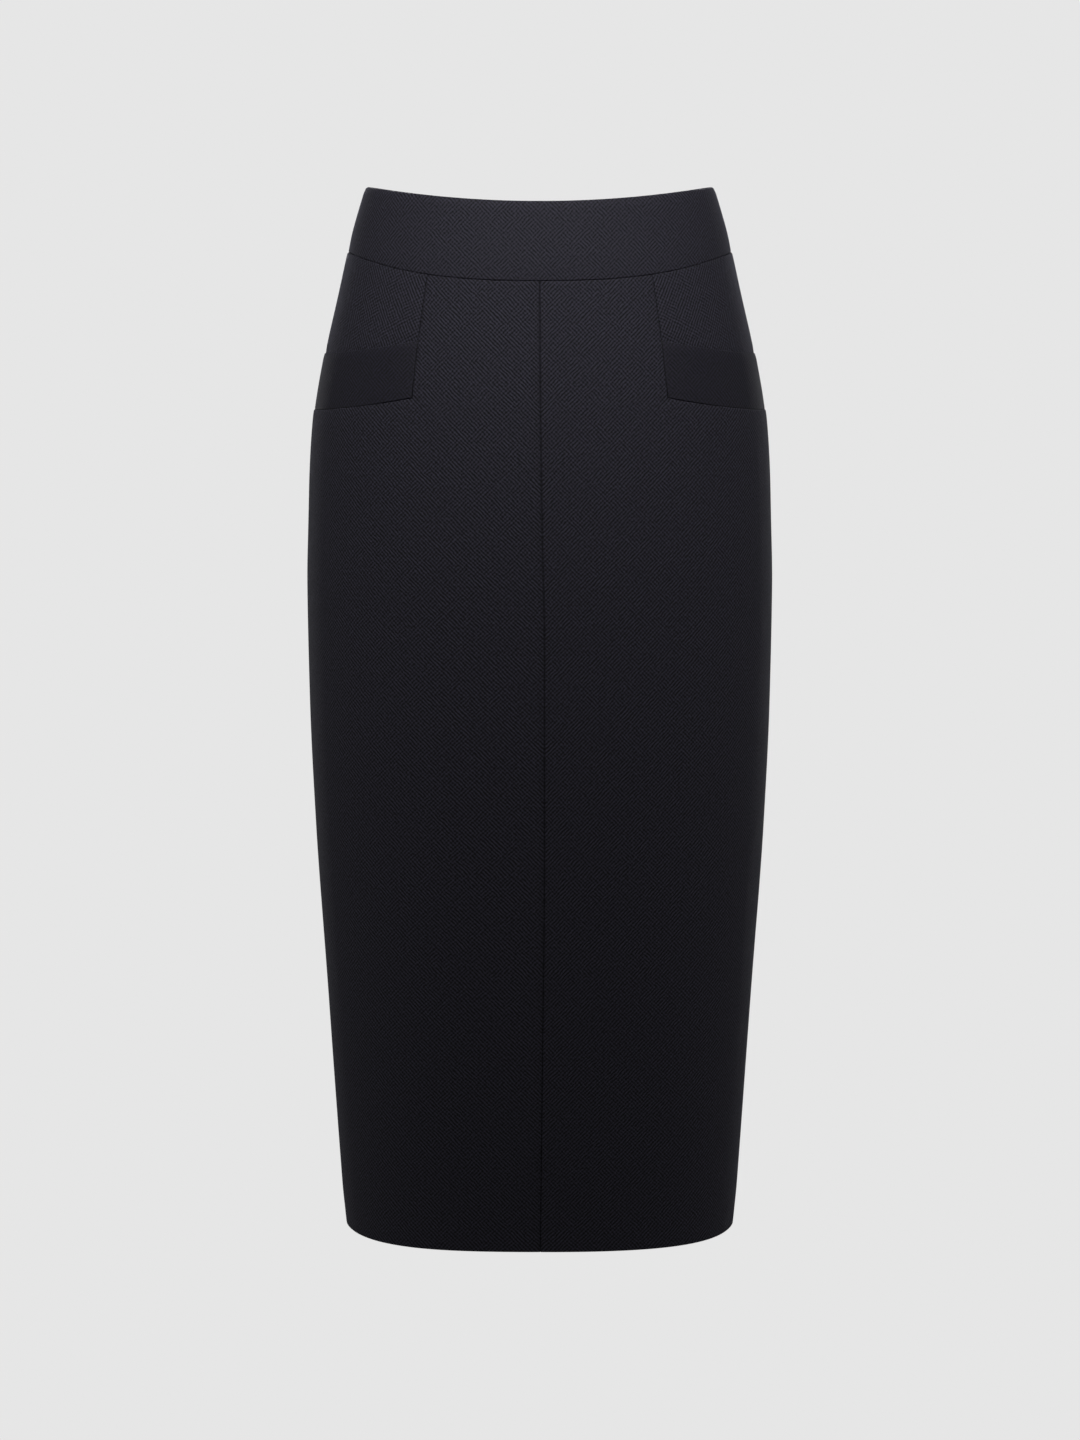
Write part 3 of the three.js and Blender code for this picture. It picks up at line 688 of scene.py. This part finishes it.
def nylon():
    """Nylon monofilament, as in a zip's coil: smooth, with a soft gloss."""
    made, tree, shader, where = placed_material("nylon_coil")
    dye = add(tree, "TexNoise", {"Vector": where, "Scale": 1 / (2 * MM), "Detail": 2.0})
    dyed = {"Factor": dye, "A": linear("#15151b"), "B": linear("#202028")}
    colour = add(tree, "Mix", dyed, data_type="RGBA")
    plug(tree, shader, {"Base Color": colour.outputs["Result"], "Roughness": 0.35, "IOR": 1.53})
    return made


def woven_tape():
    """Polyester zip tape: fine ribs along its length, a little shiny."""
    made, tree, shader, where = placed_material("polyester_tape")
    ribbing = {"Vector": where, "Scale": 1 / (1.6 * MM), "Distortion": 0.4, "Detail": 1.0}
    ribs = add(tree, "TexWave", ribbing, bands_direction="X")
    relief = {"Height": ribs.outputs["Fac"], "Strength": 0.5, "Distance": 0.12 * MM}
    bump = add(tree, "Bump", relief)
    dyed = {"Factor": ribs.outputs["Fac"], "A": linear("#141419"), "B": linear("#22222a")}
    colour = add(tree, "Mix", dyed, data_type="RGBA")
    finish = {"Base Color": colour.outputs["Result"], "Normal": bump.outputs["Normal"], "Roughness": 0.6}
    plug(tree, shader, finish)
    return made


# Settings


def length_setting(name, description, default):
    """A setting for a length, with its default in millimetres."""
    default *= MM
    return bpy.props.FloatProperty(name=name, description=description, default=default, unit="LENGTH")


def colour_setting(name, description, default):
    """A setting for a colour, as an sRGB hex."""
    description += ", as an sRGB hex"
    return bpy.props.StringProperty(name=name, description=description, default=default)


class PencilSkirtSettings(bpy.types.PropertyGroup):
    cloth_thickness: length_setting("Cloth thickness", "Thickness of the panels' wool", 0.95)
    weave_repeat: length_setting("Weave repeat", "One repeat of the bird's-eye weave", 2.9)
    hem_height: length_setting("Hem height", "How far the hem is turned up inside", 35)
    sheen: bpy.props.FloatProperty(
        name="Sheen", description="Bloom of fibre on wool", default=0.2, min=0, max=1, subtype="FACTOR"
    )
    light_yarn: colour_setting("Light yarn", "Raised yarn of the wool", "#3f3d4c")
    dark_yarn: colour_setting("Dark yarn", "Sunken yarn of the wool", "#0a090e")
    band_light_yarn: colour_setting("Pocket band light yarn", "Raised yarn of the bands", "#2b283a")
    band_dark_yarn: colour_setting("Pocket band dark yarn", "Sunken yarn of the bands", "#08080c")
    backdrop: colour_setting("Backdrop", "Colour of the floor and backdrop", "#e6e6e6")


# Operators


def lerp(low, high, t):
    return low + (high - low) * t


def lie(body, level, signed, outside, u, v, shade):
    """Points on the body, with the weave's coordinates and the painted seam shade there."""
    return body.point(level, signed, outside), np.stack([u, v], axis=-1), np.clip(shade, 0, 1)


class SKIRT_OT_waistband(bpy.types.Operator):
    """Makes the waistband: doubled wool, folded over at the top edge"""

    bl_idname = "skirt.waistband"
    bl_label = "Waistband"

    CLOTH = 0.9
    # Half the gap between the backs, where the zip's slider stands
    SLOT = 1.3

    def place_half(self, half, columns, table, hand=0):
        radius = WAISTBAND_THICK / 2
        body = HALVES[half]
        share, offset = columns.T
        _, second, t, shift, turn = table.T
        top = climb(TOP_EDGE, half, share, offset) - radius
        seam = climb(WAIST_SEAM, half, share, offset)
        base = lerp(top, seam, np.where(second == 0, 0, t)) + shift
        seam_gap = np.where(turn > 0, 99, base - seam)
        base = np.maximum(base, seam - SEAM_LAP)
        level = base + radius * np.sin(turn)
        length = body.length_at(level)
        path = share * length + offset
        distance = np.clip(path, 0, length)
        lean_in = 0.9 * np.clip(1 - (top + radius - level) / 5, 0, 1) ** 2
        settled = WAISTBAND_SETTLED * smooth(1 - seam_gap / 14)
        outside = WAISTBAND_OUT - radius * (1 - np.cos(turn)) - lean_in - settled
        gaps = [seam_gap, length - path]
        if half == "back":
            gaps.append(path)
            slot = self.SLOT * smooth((level - 2) / 4) - SEAM_LAP
            distance += slot * np.clip(1 - path / SEAM[-1], 0, 1)
        dips = turned_in(*gaps, radius=0.9) - pucker(distance, seam_gap, 3.1 + hand)
        outside -= dips * np.cos(turn / 2) + past(seam_gap)
        inner = 2 * top - base + pi * radius
        v = np.where(turn >= pi, inner, base + radius * turn)
        # Painted shade along the side seams and the back's centre seam, and fainter along the waist seam
        shade = sum(painted_seam_shade(gap) for gap in gaps[1:]) + 0.4 * painted_seam_shade(seam_gap)
        return body, level, distance, outside, v, shade

    def place_front(self, columns, table):
        signed = np.sign(columns[:, 0] + columns[:, 1] * 1e-6)
        folded = np.stack([np.abs(columns[:, 0]), -np.abs(columns[:, 1])], axis=-1)
        body, level, distance, outside, v, shade = self.place_half("front", folded, table)
        return lie(body, level, signed * distance, outside, signed * distance, v, shade)

    def place_back(self, hand, columns, table):
        body, level, distance, outside, v, shade = self.place_half("back", columns, table, hand)
        return lie(body, level, hand * distance, outside, hand * distance, v, shade)

    def execute(self, context):
        height = TOP_EDGE.centre - WAIST_SEAM.centre
        rows = [Row(0, 1, t, 0.0, pi) for t in (0.97, 0.8, 0.6, 0.4, 0.2, 0.08)]
        rows += fold_rows(0)[::-1] + rows_between(0, 1, height, 4.0, near=())

        side = columns_between(0, 1, 6.0, near=(), far=MET)
        whole = [Column(-c.share, -c.offset) for c in side[::-1]] + side
        cloth("waistband_front", CUTS["waistband_front"], self.CLOTH, whole, rows, self.place_front)

        columns = columns_between(0, 1, 6.0, near=MET, far=MET)
        pair("waistband_back", self.CLOTH, columns, rows, self.place_back, 1)
        return {"FINISHED"}


class SKIRT_OT_fronts(bpy.types.Operator):
    """Makes the two front panels, cut away at the hip round the pocket and turned up at the hem"""

    bl_idname = "skirt.fronts"
    bl_label = "Front panels"

    def place(self, hand, across, down):
        body, radius = HALVES["front"], fold_radius()
        share, offset = across.T
        first, _, t, shift, turn = down.T
        foot = drop(BAND_FOOT, share, offset)
        hem = hem_line(body, share, offset, radius)
        lines = np.stack([climb(WAIST_SEAM, "front", share, offset), foot, hem], axis=-1)
        pick = np.arange(len(share))
        low = lines[pick, first.astype(int)]
        high = lines[pick, np.minimum(first.astype(int) + 1, 2)]
        base = lerp(low, high, t) + shift
        waist_gap = lines[:, 0] - base
        base = np.minimum(base, lines[:, 0] + SEAM_LAP)
        above, at_corner = first == 0, (share == POCKET) & (offset == SHY[0])
        beyond = (share > POCKET) | ((share == POCKET) & (offset > 0))
        base = np.where(above & beyond & ~at_corner, foot, base)
        level = base - radius * np.sin(turn)
        length = body.length_at(level)
        path = share * length + offset
        distance = np.clip(path, -SEAM_LAP, length)
        distance -= np.where(above & at_corner, SHY[0], 0)
        pocket_path, foot_gap = POCKET * length - path, foot - base
        corner_gap = np.where(beyond, foot_gap, np.hypot(pocket_path, foot_gap))
        pocket_gap = np.where(above, np.where(beyond, -PAST, pocket_path), corner_gap)
        side_gap = length - path
        outside = lip_out(share, level) - radius * (1 - np.cos(turn)) - hem_tuck(side_gap, level)
        dips = turned_in(path, side_gap, waist_gap, pocket_gap) + past(waist_gap, pocket_gap)
        dips -= pucker(level, path, 1.3 + hand) + pucker(distance, waist_gap, 5.2 + hand)
        dips -= pucker(distance, corner_gap, 2.2 + hand, 0.08)
        dips += creases("front", hand, distance, level)
        wander = wander_at(level) * np.clip(1 - distance / (POCKET * length), 0, 1)
        signed = hand * distance + wander
        outside += ease("front", signed, level) + side_bulk(side_gap, waist_gap)
        outside -= dips * np.cos(turn / 2) + past(path, side_gap)
        # Painted shade along the centre-front, side and waist seams, and along the pocket's inner edge
        # above it
        shade = painted_seam_shade(path) + painted_seam_shade(side_gap) + 0.3 * painted_seam_shade(waist_gap)
        shade += np.where(above, painted_seam_shade(pocket_gap), 0)
        # Painted shade beside the ridge of the centre-front seam's layers, on the wearer's right
        if hand < 0:
            shade += ALLOWANCE_SHADE * painted_seam_shade(path, 3.5)
        v = down_panel(base, turn, radius)
        return lie(body, level, signed, outside, distance, v, shade)

    def execute(self, context):
        columns = columns_between(0, POCKET, 6.0, far=MET) + columns_between(POCKET, 1, 6.0, near=SHY)
        rows = rows_between(0, 1, 80, 5.0, far=SHY) + rows_between(1, 2, 590, 6.0, near=MET, far=())
        rows += hem_rows()
        turned_column, turned_row = Column(POCKET, 0.0), Row(0, 1, 1.0, SHY[0])

        def kept(column, next_column, row):
            beyond = next_column > (POCKET, 0.0)
            return not beyond or row.first >= 1 or column == turned_column or row == turned_row

        pair("front", cloth_thickness(), columns, rows, self.place, -1, kept)
        return {"FINISHED"}


class SKIRT_OT_yokes(bpy.types.Operator):
    """Makes the hip yokes, which run on behind the pocket bands"""

    bl_idname = "skirt.yokes"
    bl_label = "Hip yokes"

    # How far they sink behind the bands' tops and run on below their feet, and how far they are turned
    SINK, OVERLAP = 6, 14
    GRAIN = math.radians(20)

    def place(self, hand, across, down):
        body, sink = HALVES["front"], self.SINK
        share, offset = across.T
        first, _, t, shift, _ = down.T
        seam = climb(WAIST_SEAM, "front", share, offset)
        mouth, foot = drop(BAND_TOP, share, offset), drop(BAND_FOOT, share, offset)
        low = np.where(first == 0, seam, np.where(first == 1, mouth, foot))
        high = np.where(first == 0, mouth + sink, low)
        level = lerp(low, high, t) + shift
        waist_gap = seam - level
        level = np.minimum(level, seam + SEAM_LAP)
        length = body.length_at(level)
        path = share * length + offset
        distance = np.clip(path, POCKET * length - SEAM_LAP, length)
        pocket_gap, side_gap = path - POCKET * length, length - path
        behind_band = band_out(share) - BAND_THICK - LAYER_GAP
        behind_lip = lip_out(share, foot) - cloth_thickness() - BAND_CLOTH - 3 * LAYER_GAP
        sinking = smooth((mouth - level) / (mouth - foot))
        under = lerp(behind_band, np.minimum(behind_band, behind_lip), sinking)
        behind = smooth((mouth + sink - level) / sink)
        outside = under * behind - turned_in(waist_gap, side_gap)
        outside = outside - past(waist_gap, side_gap, pocket_gap)
        outside -= turned_in(pocket_gap) * (1 - behind)
        outside += pucker(distance, waist_gap, 7.4 + hand) + ease("front", hand * distance, level)
        outside += side_bulk(side_gap, waist_gap)
        # Painted shade along the waist, side and pocket seams
        shade = 0.3 * painted_seam_shade(waist_gap) + painted_seam_shade(side_gap) + painted_seam_shade(pocket_gap)
        u = distance * math.cos(self.GRAIN) + level * math.sin(self.GRAIN)
        v = level * math.cos(self.GRAIN) - distance * math.sin(self.GRAIN)
        return lie(body, level, hand * distance, outside, u, v, shade)

    def execute(self, context):
        columns = columns_between(POCKET, 1, 6.0)
        rows = rows_between(0, 1, 55, 4.5, far=())
        rows += [Row(1, 1, 0.0, d) for d in (self.SINK, 4.5, 3.2, 2, 1, 0, -1, -3, -8, -16, -24, -32)]
        rows += [Row(2, 2, 0.0, d) for d in (-2, -8, -self.OVERLAP)]

        pair("yoke", cloth_thickness(), columns, rows, self.place, -1)
        return {"FINISHED"}


class SKIRT_OT_pocket_bands(bpy.types.Operator):
    """Makes the bands across the pocket mouths, each folded over at its top edge"""

    bl_idname = "skirt.pocket_bands"
    bl_label = "Pocket bands"

    def place(self, hand, across, down):
        body, radius = HALVES["front"], BAND_THICK / 2
        share, offset = across.T
        first, second, t, shift, turn = down.T
        top, foot = drop(BAND_TOP, share, offset) - radius, drop(BAND_FOOT, share, offset)
        base = lerp(top, foot, np.where(first == second, first, t)) + shift
        level = base + radius * np.sin(turn)
        length = body.length_at(level)
        path = share * length + offset
        distance = np.clip(path, POCKET * length - SEAM_LAP, length)
        is_out = turn == 0
        foot_gap = base - foot
        dips = turned_in(path - POCKET * length, length - path, radius=0.7)
        dips -= pucker(distance, foot_gap, 4.4 + hand, 0.05)
        dips += 0.45 * np.clip(1 - (top + radius - level) / 2.5, 0, 1) ** 2
        outside = band_out(share) - radius * (1 - np.cos(turn)) - dips * np.cos(turn / 2)
        seam_depth = np.minimum(outside, lip_out(share, foot) - cloth_thickness() - LAYER_GAP)
        near = np.where(is_out, np.clip(1 - foot_gap / 0.8, 0, 1) ** 2, 0)
        outside = lerp(outside, seam_depth, 1 - np.sqrt(1 - near))
        outside = outside + ease("front", hand * distance, level)
        # Painted shade at the band's seams, and a painted shadow along its foot, stronger and wider
        # where the lip stands proud beside it
        behind_lip = smooth((share - POCKET) / 0.3)
        shade = painted_seam_shade(path - POCKET * length) + painted_seam_shade(length - path)
        shade += lerp(0.1, 1.2, behind_lip) * painted_seam_shade(foot_gap, 0.9)
        v = np.where(turn >= pi, 2 * top - base + pi * radius, base + radius * turn)
        return lie(body, level, hand * distance, outside, distance, v, shade)

    def execute(self, context):
        height = BAND_TOP.inner - BAND_FOOT.inner
        columns = columns_between(POCKET, 1, 5.0, near=MET, far=MET)
        rows = [Row(0, 1, t, 0.0, pi) for t in (0.97, 0.75, 0.5, 0.25, 0.08)]
        rows += fold_rows(0)[::-1] + rows_between(0, 1, height, 4.0, near=(), far=MET)
        rows += [Row(1, 1, 0.0, d) for d in (-1, -3)]

        pair("pocket_band", BAND_CLOTH, columns, rows, self.place, -1)
        return {"FINISHED"}


class SKIRT_OT_backs(bpy.types.Operator):
    """Makes the back panels with their darts and the vent, whose left edge laps over the right one"""

    bl_idname = "skirt.backs"
    bl_label = "Back panels"

    DART_SHARE = 0.43
    DART_LENGTH = 125
    UNDERLAP = 35
    FACING = 30
    SINK_HEIGHT = 28
    SINK_WIDTH = 32

    def sunk(self, level, distance, beneath):
        """How far the right panel lies in, so that its extension passes under the left edge."""
        near = smooth(1 + np.minimum(distance, 0) / self.SINK_WIDTH)
        down = smooth((VENT_TOP + self.SINK_HEIGHT - level) / self.SINK_HEIGHT)
        return beneath * near * down

    def place(self, hand, across, down):
        body, radius = HALVES["back"], fold_radius()
        share, offset = across.T
        first, _, t, shift, turn = down.T
        seam = climb(WAIST_SEAM, "back", share, offset)
        hem = hem_line(body, share, offset, radius)
        low = np.where(first == 0, seam, np.where(first == 1, VENT_TOP, hem))
        high = np.where(first == 0, VENT_TOP, hem)
        base = lerp(low, high, t) + shift
        waist_gap = seam - base
        base = np.minimum(base, seam + SEAM_LAP)
        level = base - radius * np.sin(turn)
        length = body.length_at(level)
        path = share * length + offset
        side_gap = length - path
        below = smooth((VENT_TOP + 2 - level) / 4)
        centre_gap = path + below * 9
        dart_gap = np.abs(path - self.DART_SHARE * length)
        dart_fade = smooth((level - (WAIST_SEAM.centre - self.DART_LENGTH)) / 40)
        outside = -radius * (1 - np.cos(turn)) - hem_tuck(side_gap, level)
        dips = turned_in(side_gap, waist_gap, centre_gap)
        dips = dips + turned_in(dart_gap, radius=0.8) * dart_fade
        dips += past(waist_gap) + past(path) * (1 - below)
        dips -= pucker(level, side_gap, 2.3 + hand) + pucker(path, waist_gap, 6.2 + hand)
        dips -= pucker(level, dart_gap, 4.3 + hand, 0.12) * dart_fade
        dips += creases("back", hand, path, level)
        distance = path
        if hand > 0:
            around = np.clip(-path / radius, 0, pi)
            flap = np.maximum(-path - pi * radius, 0)
            distance = np.where(path >= 0, path, flap - radius * np.sin(around))
            distance = distance + radius * below * np.clip(1 - path / 40, 0, 1)
            outside -= np.where(path < 0, radius * (1 - np.cos(around)), 0) * below
        else:
            outside -= self.sunk(level, -path, 2 * radius + LAYER_GAP)
        distance = lerp(np.maximum(distance, -SEAM_LAP), distance, below)
        distance = np.minimum(distance, length)
        outside += ease("back", hand * distance, level) + side_bulk(side_gap, waist_gap)
        outside -= dips * np.cos(turn / 2) + past(side_gap)
        # Painted shade along the side, waist and centre seams and the darts
        shade = painted_seam_shade(side_gap) + 0.4 * painted_seam_shade(waist_gap) + painted_seam_shade(centre_gap)
        shade += painted_seam_shade(dart_gap) * dart_fade
        # Painted shadow on the right panel beside the vent's folded left edge
        if hand < 0:
            shade += 0.9 * painted_seam_shade(path, 1.3) * below
        v = down_panel(base, turn, radius)
        return lie(body, level, hand * distance, outside, path, v, shade)

    def execute(self, context):
        seams = columns_between(0, self.DART_SHARE, 6.0, far=MET)
        seams += columns_between(self.DART_SHARE, 1, 6.0, near=SHY)
        rows = rows_between(0, 1, 490, 6.0, far=()) + [Row(1, 2, 0.0)]
        rows += rows_between(1, 2, 200, 6.0, near=(), far=())
        rows += hem_rows()

        def kept(column, next_column, row):
            return column.share > 0 or column.offset >= -PAST or row.first >= 1

        columns = {}
        for name, lap in (("left", self.FACING), ("right", self.UNDERLAP)):
            edge = spread(lap, 5.5, 5.0) + [4.2, 3.46, 2.9, 2.3, 1.8]
            columns[name] = [Column(0, -d) for d in edge] + seams
        pair("back", cloth_thickness(), columns, rows, self.place, 1, kept)
        return {"FINISHED"}


class SKIRT_OT_zip(bpy.types.Operator):
    """Finishes the zip: its tape, its coil and the rounded slider and pull"""

    bl_idname = "skirt.zip"
    bl_label = "Zip"

    COIL_PITCH = 1.3
    COIL_RADIUS = 0.7
    WIRE = 0.22
    TAPE_INSIDE = -3.15
    # Edges over this many degrees are rounded, this wide
    SHARP = 40
    ROUNDING = 0.18

    def coil(self):
        """The coil's loops, which lie on the inside of the tape behind the seam."""
        body = HALVES["back"]
        bm = bmesh.new()
        low, high = (corner.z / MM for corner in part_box("zip_tape"))
        low += 2
        inside = np.array([self.TAPE_INSIDE - self.COIL_RADIUS])
        aside = Matrix.Translation(Vector((self.COIL_RADIUS * MM, 0, 0)))
        for i in range(int((high - low) / self.COIL_PITCH)):
            place = body.point(np.array([low + i * self.COIL_PITCH]), np.array([0.0]), inside)[0]
            earlier = set(bm.verts)
            ring = bmesh.ops.create_circle(bm, segments=5, radius=self.WIRE * MM)
            upright = aside @ Matrix.Rotation(pi / 2, 4, "X")
            bmesh.ops.transform(bm, matrix=upright, verts=ring["verts"])
            edges = [e for e in bm.edges if e.verts[0] not in earlier]
            turned = {"cent": (0, 0, 0), "axis": (0, 0, 1), "angle": 2 * pi, "steps": 9}
            bmesh.ops.spin(bm, geom=ring["verts"] + edges, use_merge=True, use_duplicate=False, **turned)
            tilt = Matrix.Translation(Vector(place) * MM) @ Matrix.Rotation(0.25, 4, "Y")
            loop = [v for v in bm.verts if v not in earlier]
            bmesh.ops.transform(bm, matrix=tilt, verts=loop)
        bmesh.ops.recalc_face_normals(bm, faces=bm.faces)
        return as_object("zip_coil", bm)

    def rounded(self, node):
        """A copy of a CAD piece with its doubles merged and its edges rounded."""
        bm = bmesh.new()
        bm.from_mesh(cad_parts[node].data)
        bmesh.ops.remove_doubles(bm, verts=bm.verts, dist=1e-6)
        bmesh.ops.dissolve_limit(bm, angle_limit=math.radians(3), verts=bm.verts, edges=bm.edges)
        closed = [e for e in bm.edges if len(e.link_faces) == 2]
        sharp = [e for e in closed if e.calc_face_angle() > math.radians(self.SHARP)]
        size = {"offset": self.ROUNDING * MM, "offset_type": "OFFSET", "segments": 3}
        bmesh.ops.bevel(bm, geom=sharp, affect="EDGES", profile=0.5, material=-1, **size)
        return as_object(f"{node}_finished", bm)

    def execute(self, context):
        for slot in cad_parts["zip_tape"].material_slots:
            slot.link = "OBJECT"
            slot.material = woven_tape()
        coil = self.coil()
        coil.data.materials.append(nylon())
        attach(coil, BODY)
        metal = enamel()
        for node, body in (("zip_slider", BODY), ("zip_pull", PULL_BODY)):
            piece = self.rounded(node)
            piece.data.materials.append(metal)
            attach(piece, body)
            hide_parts(node)
        return {"FINISHED"}


class SKIRT_OT_stage(bpy.types.Operator):
    """Sets the pale floor and backdrop, the soft lights and the camera"""

    bl_idname = "skirt.stage"
    bl_label = "Stage"

    def light(self, light, mirrored):
        """A soft rectangular light that faces a point."""
        data = bpy.data.lights.new(light.name, "AREA")
        data.shape = "RECTANGLE"
        data.size, data.size_y = light.size
        data.energy = light.power
        data.spread = math.radians(light.spread)
        made = bpy.data.objects.new(light.name, data)
        side = Vector((mirrored, 1, 1))
        made.location = Vector(light.place) * side
        aim = Vector(light.target) * side - made.location
        made.rotation_euler = aim.to_track_quat("-Z", "Y").to_euler()
        bpy.context.scene.collection.objects.link(made)

    def execute(self, context):
        scene = context.scene
        pale, tree, shader = material("seamless_paper")
        glow = add(tree, "Emission", {"Color": linear(settings().backdrop)})
        plug(tree, tree.nodes["Material Output"], {"Surface": glow})
        tree.nodes.remove(shader)
        floor_level = CAD_BOX[0].z - FLOOR_DROP
        floor_mesh = bmesh.new()
        bmesh.ops.create_circle(floor_mesh, cap_ends=True, segments=64, radius=FLOOR_RADIUS)
        bmesh.ops.translate(floor_mesh, verts=floor_mesh.verts, vec=(0, 0, floor_level))
        dome_mesh = bmesh.new()
        bmesh.ops.create_uvsphere(dome_mesh, u_segments=48, v_segments=24, radius=DOME_RADIUS)
        for name, bm in (("floor", floor_mesh), ("backdrop", dome_mesh)):
            piece = as_object(name, bm)
            piece.data.materials.append(pale)
            for rays in ("diffuse", "glossy", "shadow"):
                setattr(piece, f"visible_{rays}", False)

        world = bpy.data.worlds.new("studio")
        world.use_nodes = True
        sky = world.node_tree
        plug(sky, sky.nodes["Background"], {"Color": linear("#ffffff"), "Strength": WORLD_STRENGTH})
        scene.world = world

        for light in LIGHTS:
            for mirrored in (1, -1) if light.place[0] else (1,):
                self.light(light, mirrored)

        scene.view_settings.view_transform = "Standard"
        data = bpy.data.cameras.new("camera")
        data.lens = 80
        data.sensor_width = 36
        camera = bpy.data.objects.new("camera", data)
        camera.location = CAMERA_PLACE
        camera.rotation_euler = (math.radians(90 - CAMERA_DOWN), 0, 0)
        scene.collection.objects.link(camera)
        scene.camera = camera
        return {"FINISHED"}


class SKIRT_PT_panel(bpy.types.Panel):
    """Lists the skirt's pieces in the 3D view's sidebar"""

    bl_idname = "SKIRT_PT_panel"
    bl_label = "Pencil Skirt"
    bl_space_type = "VIEW_3D"
    bl_region_type = "UI"
    bl_category = "Pencil Skirt"

    def draw(self, context):
        for name in PencilSkirtSettings.__annotations__:
            self.layout.prop(context.scene.pencil_skirt, name)
        for operator in OPERATORS:
            self.layout.operator(operator.bl_idname)


OPERATORS = (
    SKIRT_OT_stage,
    SKIRT_OT_waistband,
    SKIRT_OT_fronts,
    SKIRT_OT_yokes,
    SKIRT_OT_pocket_bands,
    SKIRT_OT_backs,
    SKIRT_OT_zip,
)
CLASSES = (PencilSkirtSettings, *OPERATORS, SKIRT_PT_panel)


def register():
    for cls in CLASSES:
        bpy.utils.register_class(cls)
    bpy.types.Scene.pencil_skirt = bpy.props.PointerProperty(type=PencilSkirtSettings)


def unregister():
    del bpy.types.Scene.pencil_skirt
    for cls in reversed(CLASSES):
        bpy.utils.unregister_class(cls)


def main():
    register()
    bpy.ops.skirt.stage()
    bpy.ops.skirt.waistband()
    bpy.ops.skirt.fronts()
    bpy.ops.skirt.yokes()
    bpy.ops.skirt.pocket_bands()
    bpy.ops.skirt.backs()
    bpy.ops.skirt.zip()


if __name__ == "__main__":
    main()
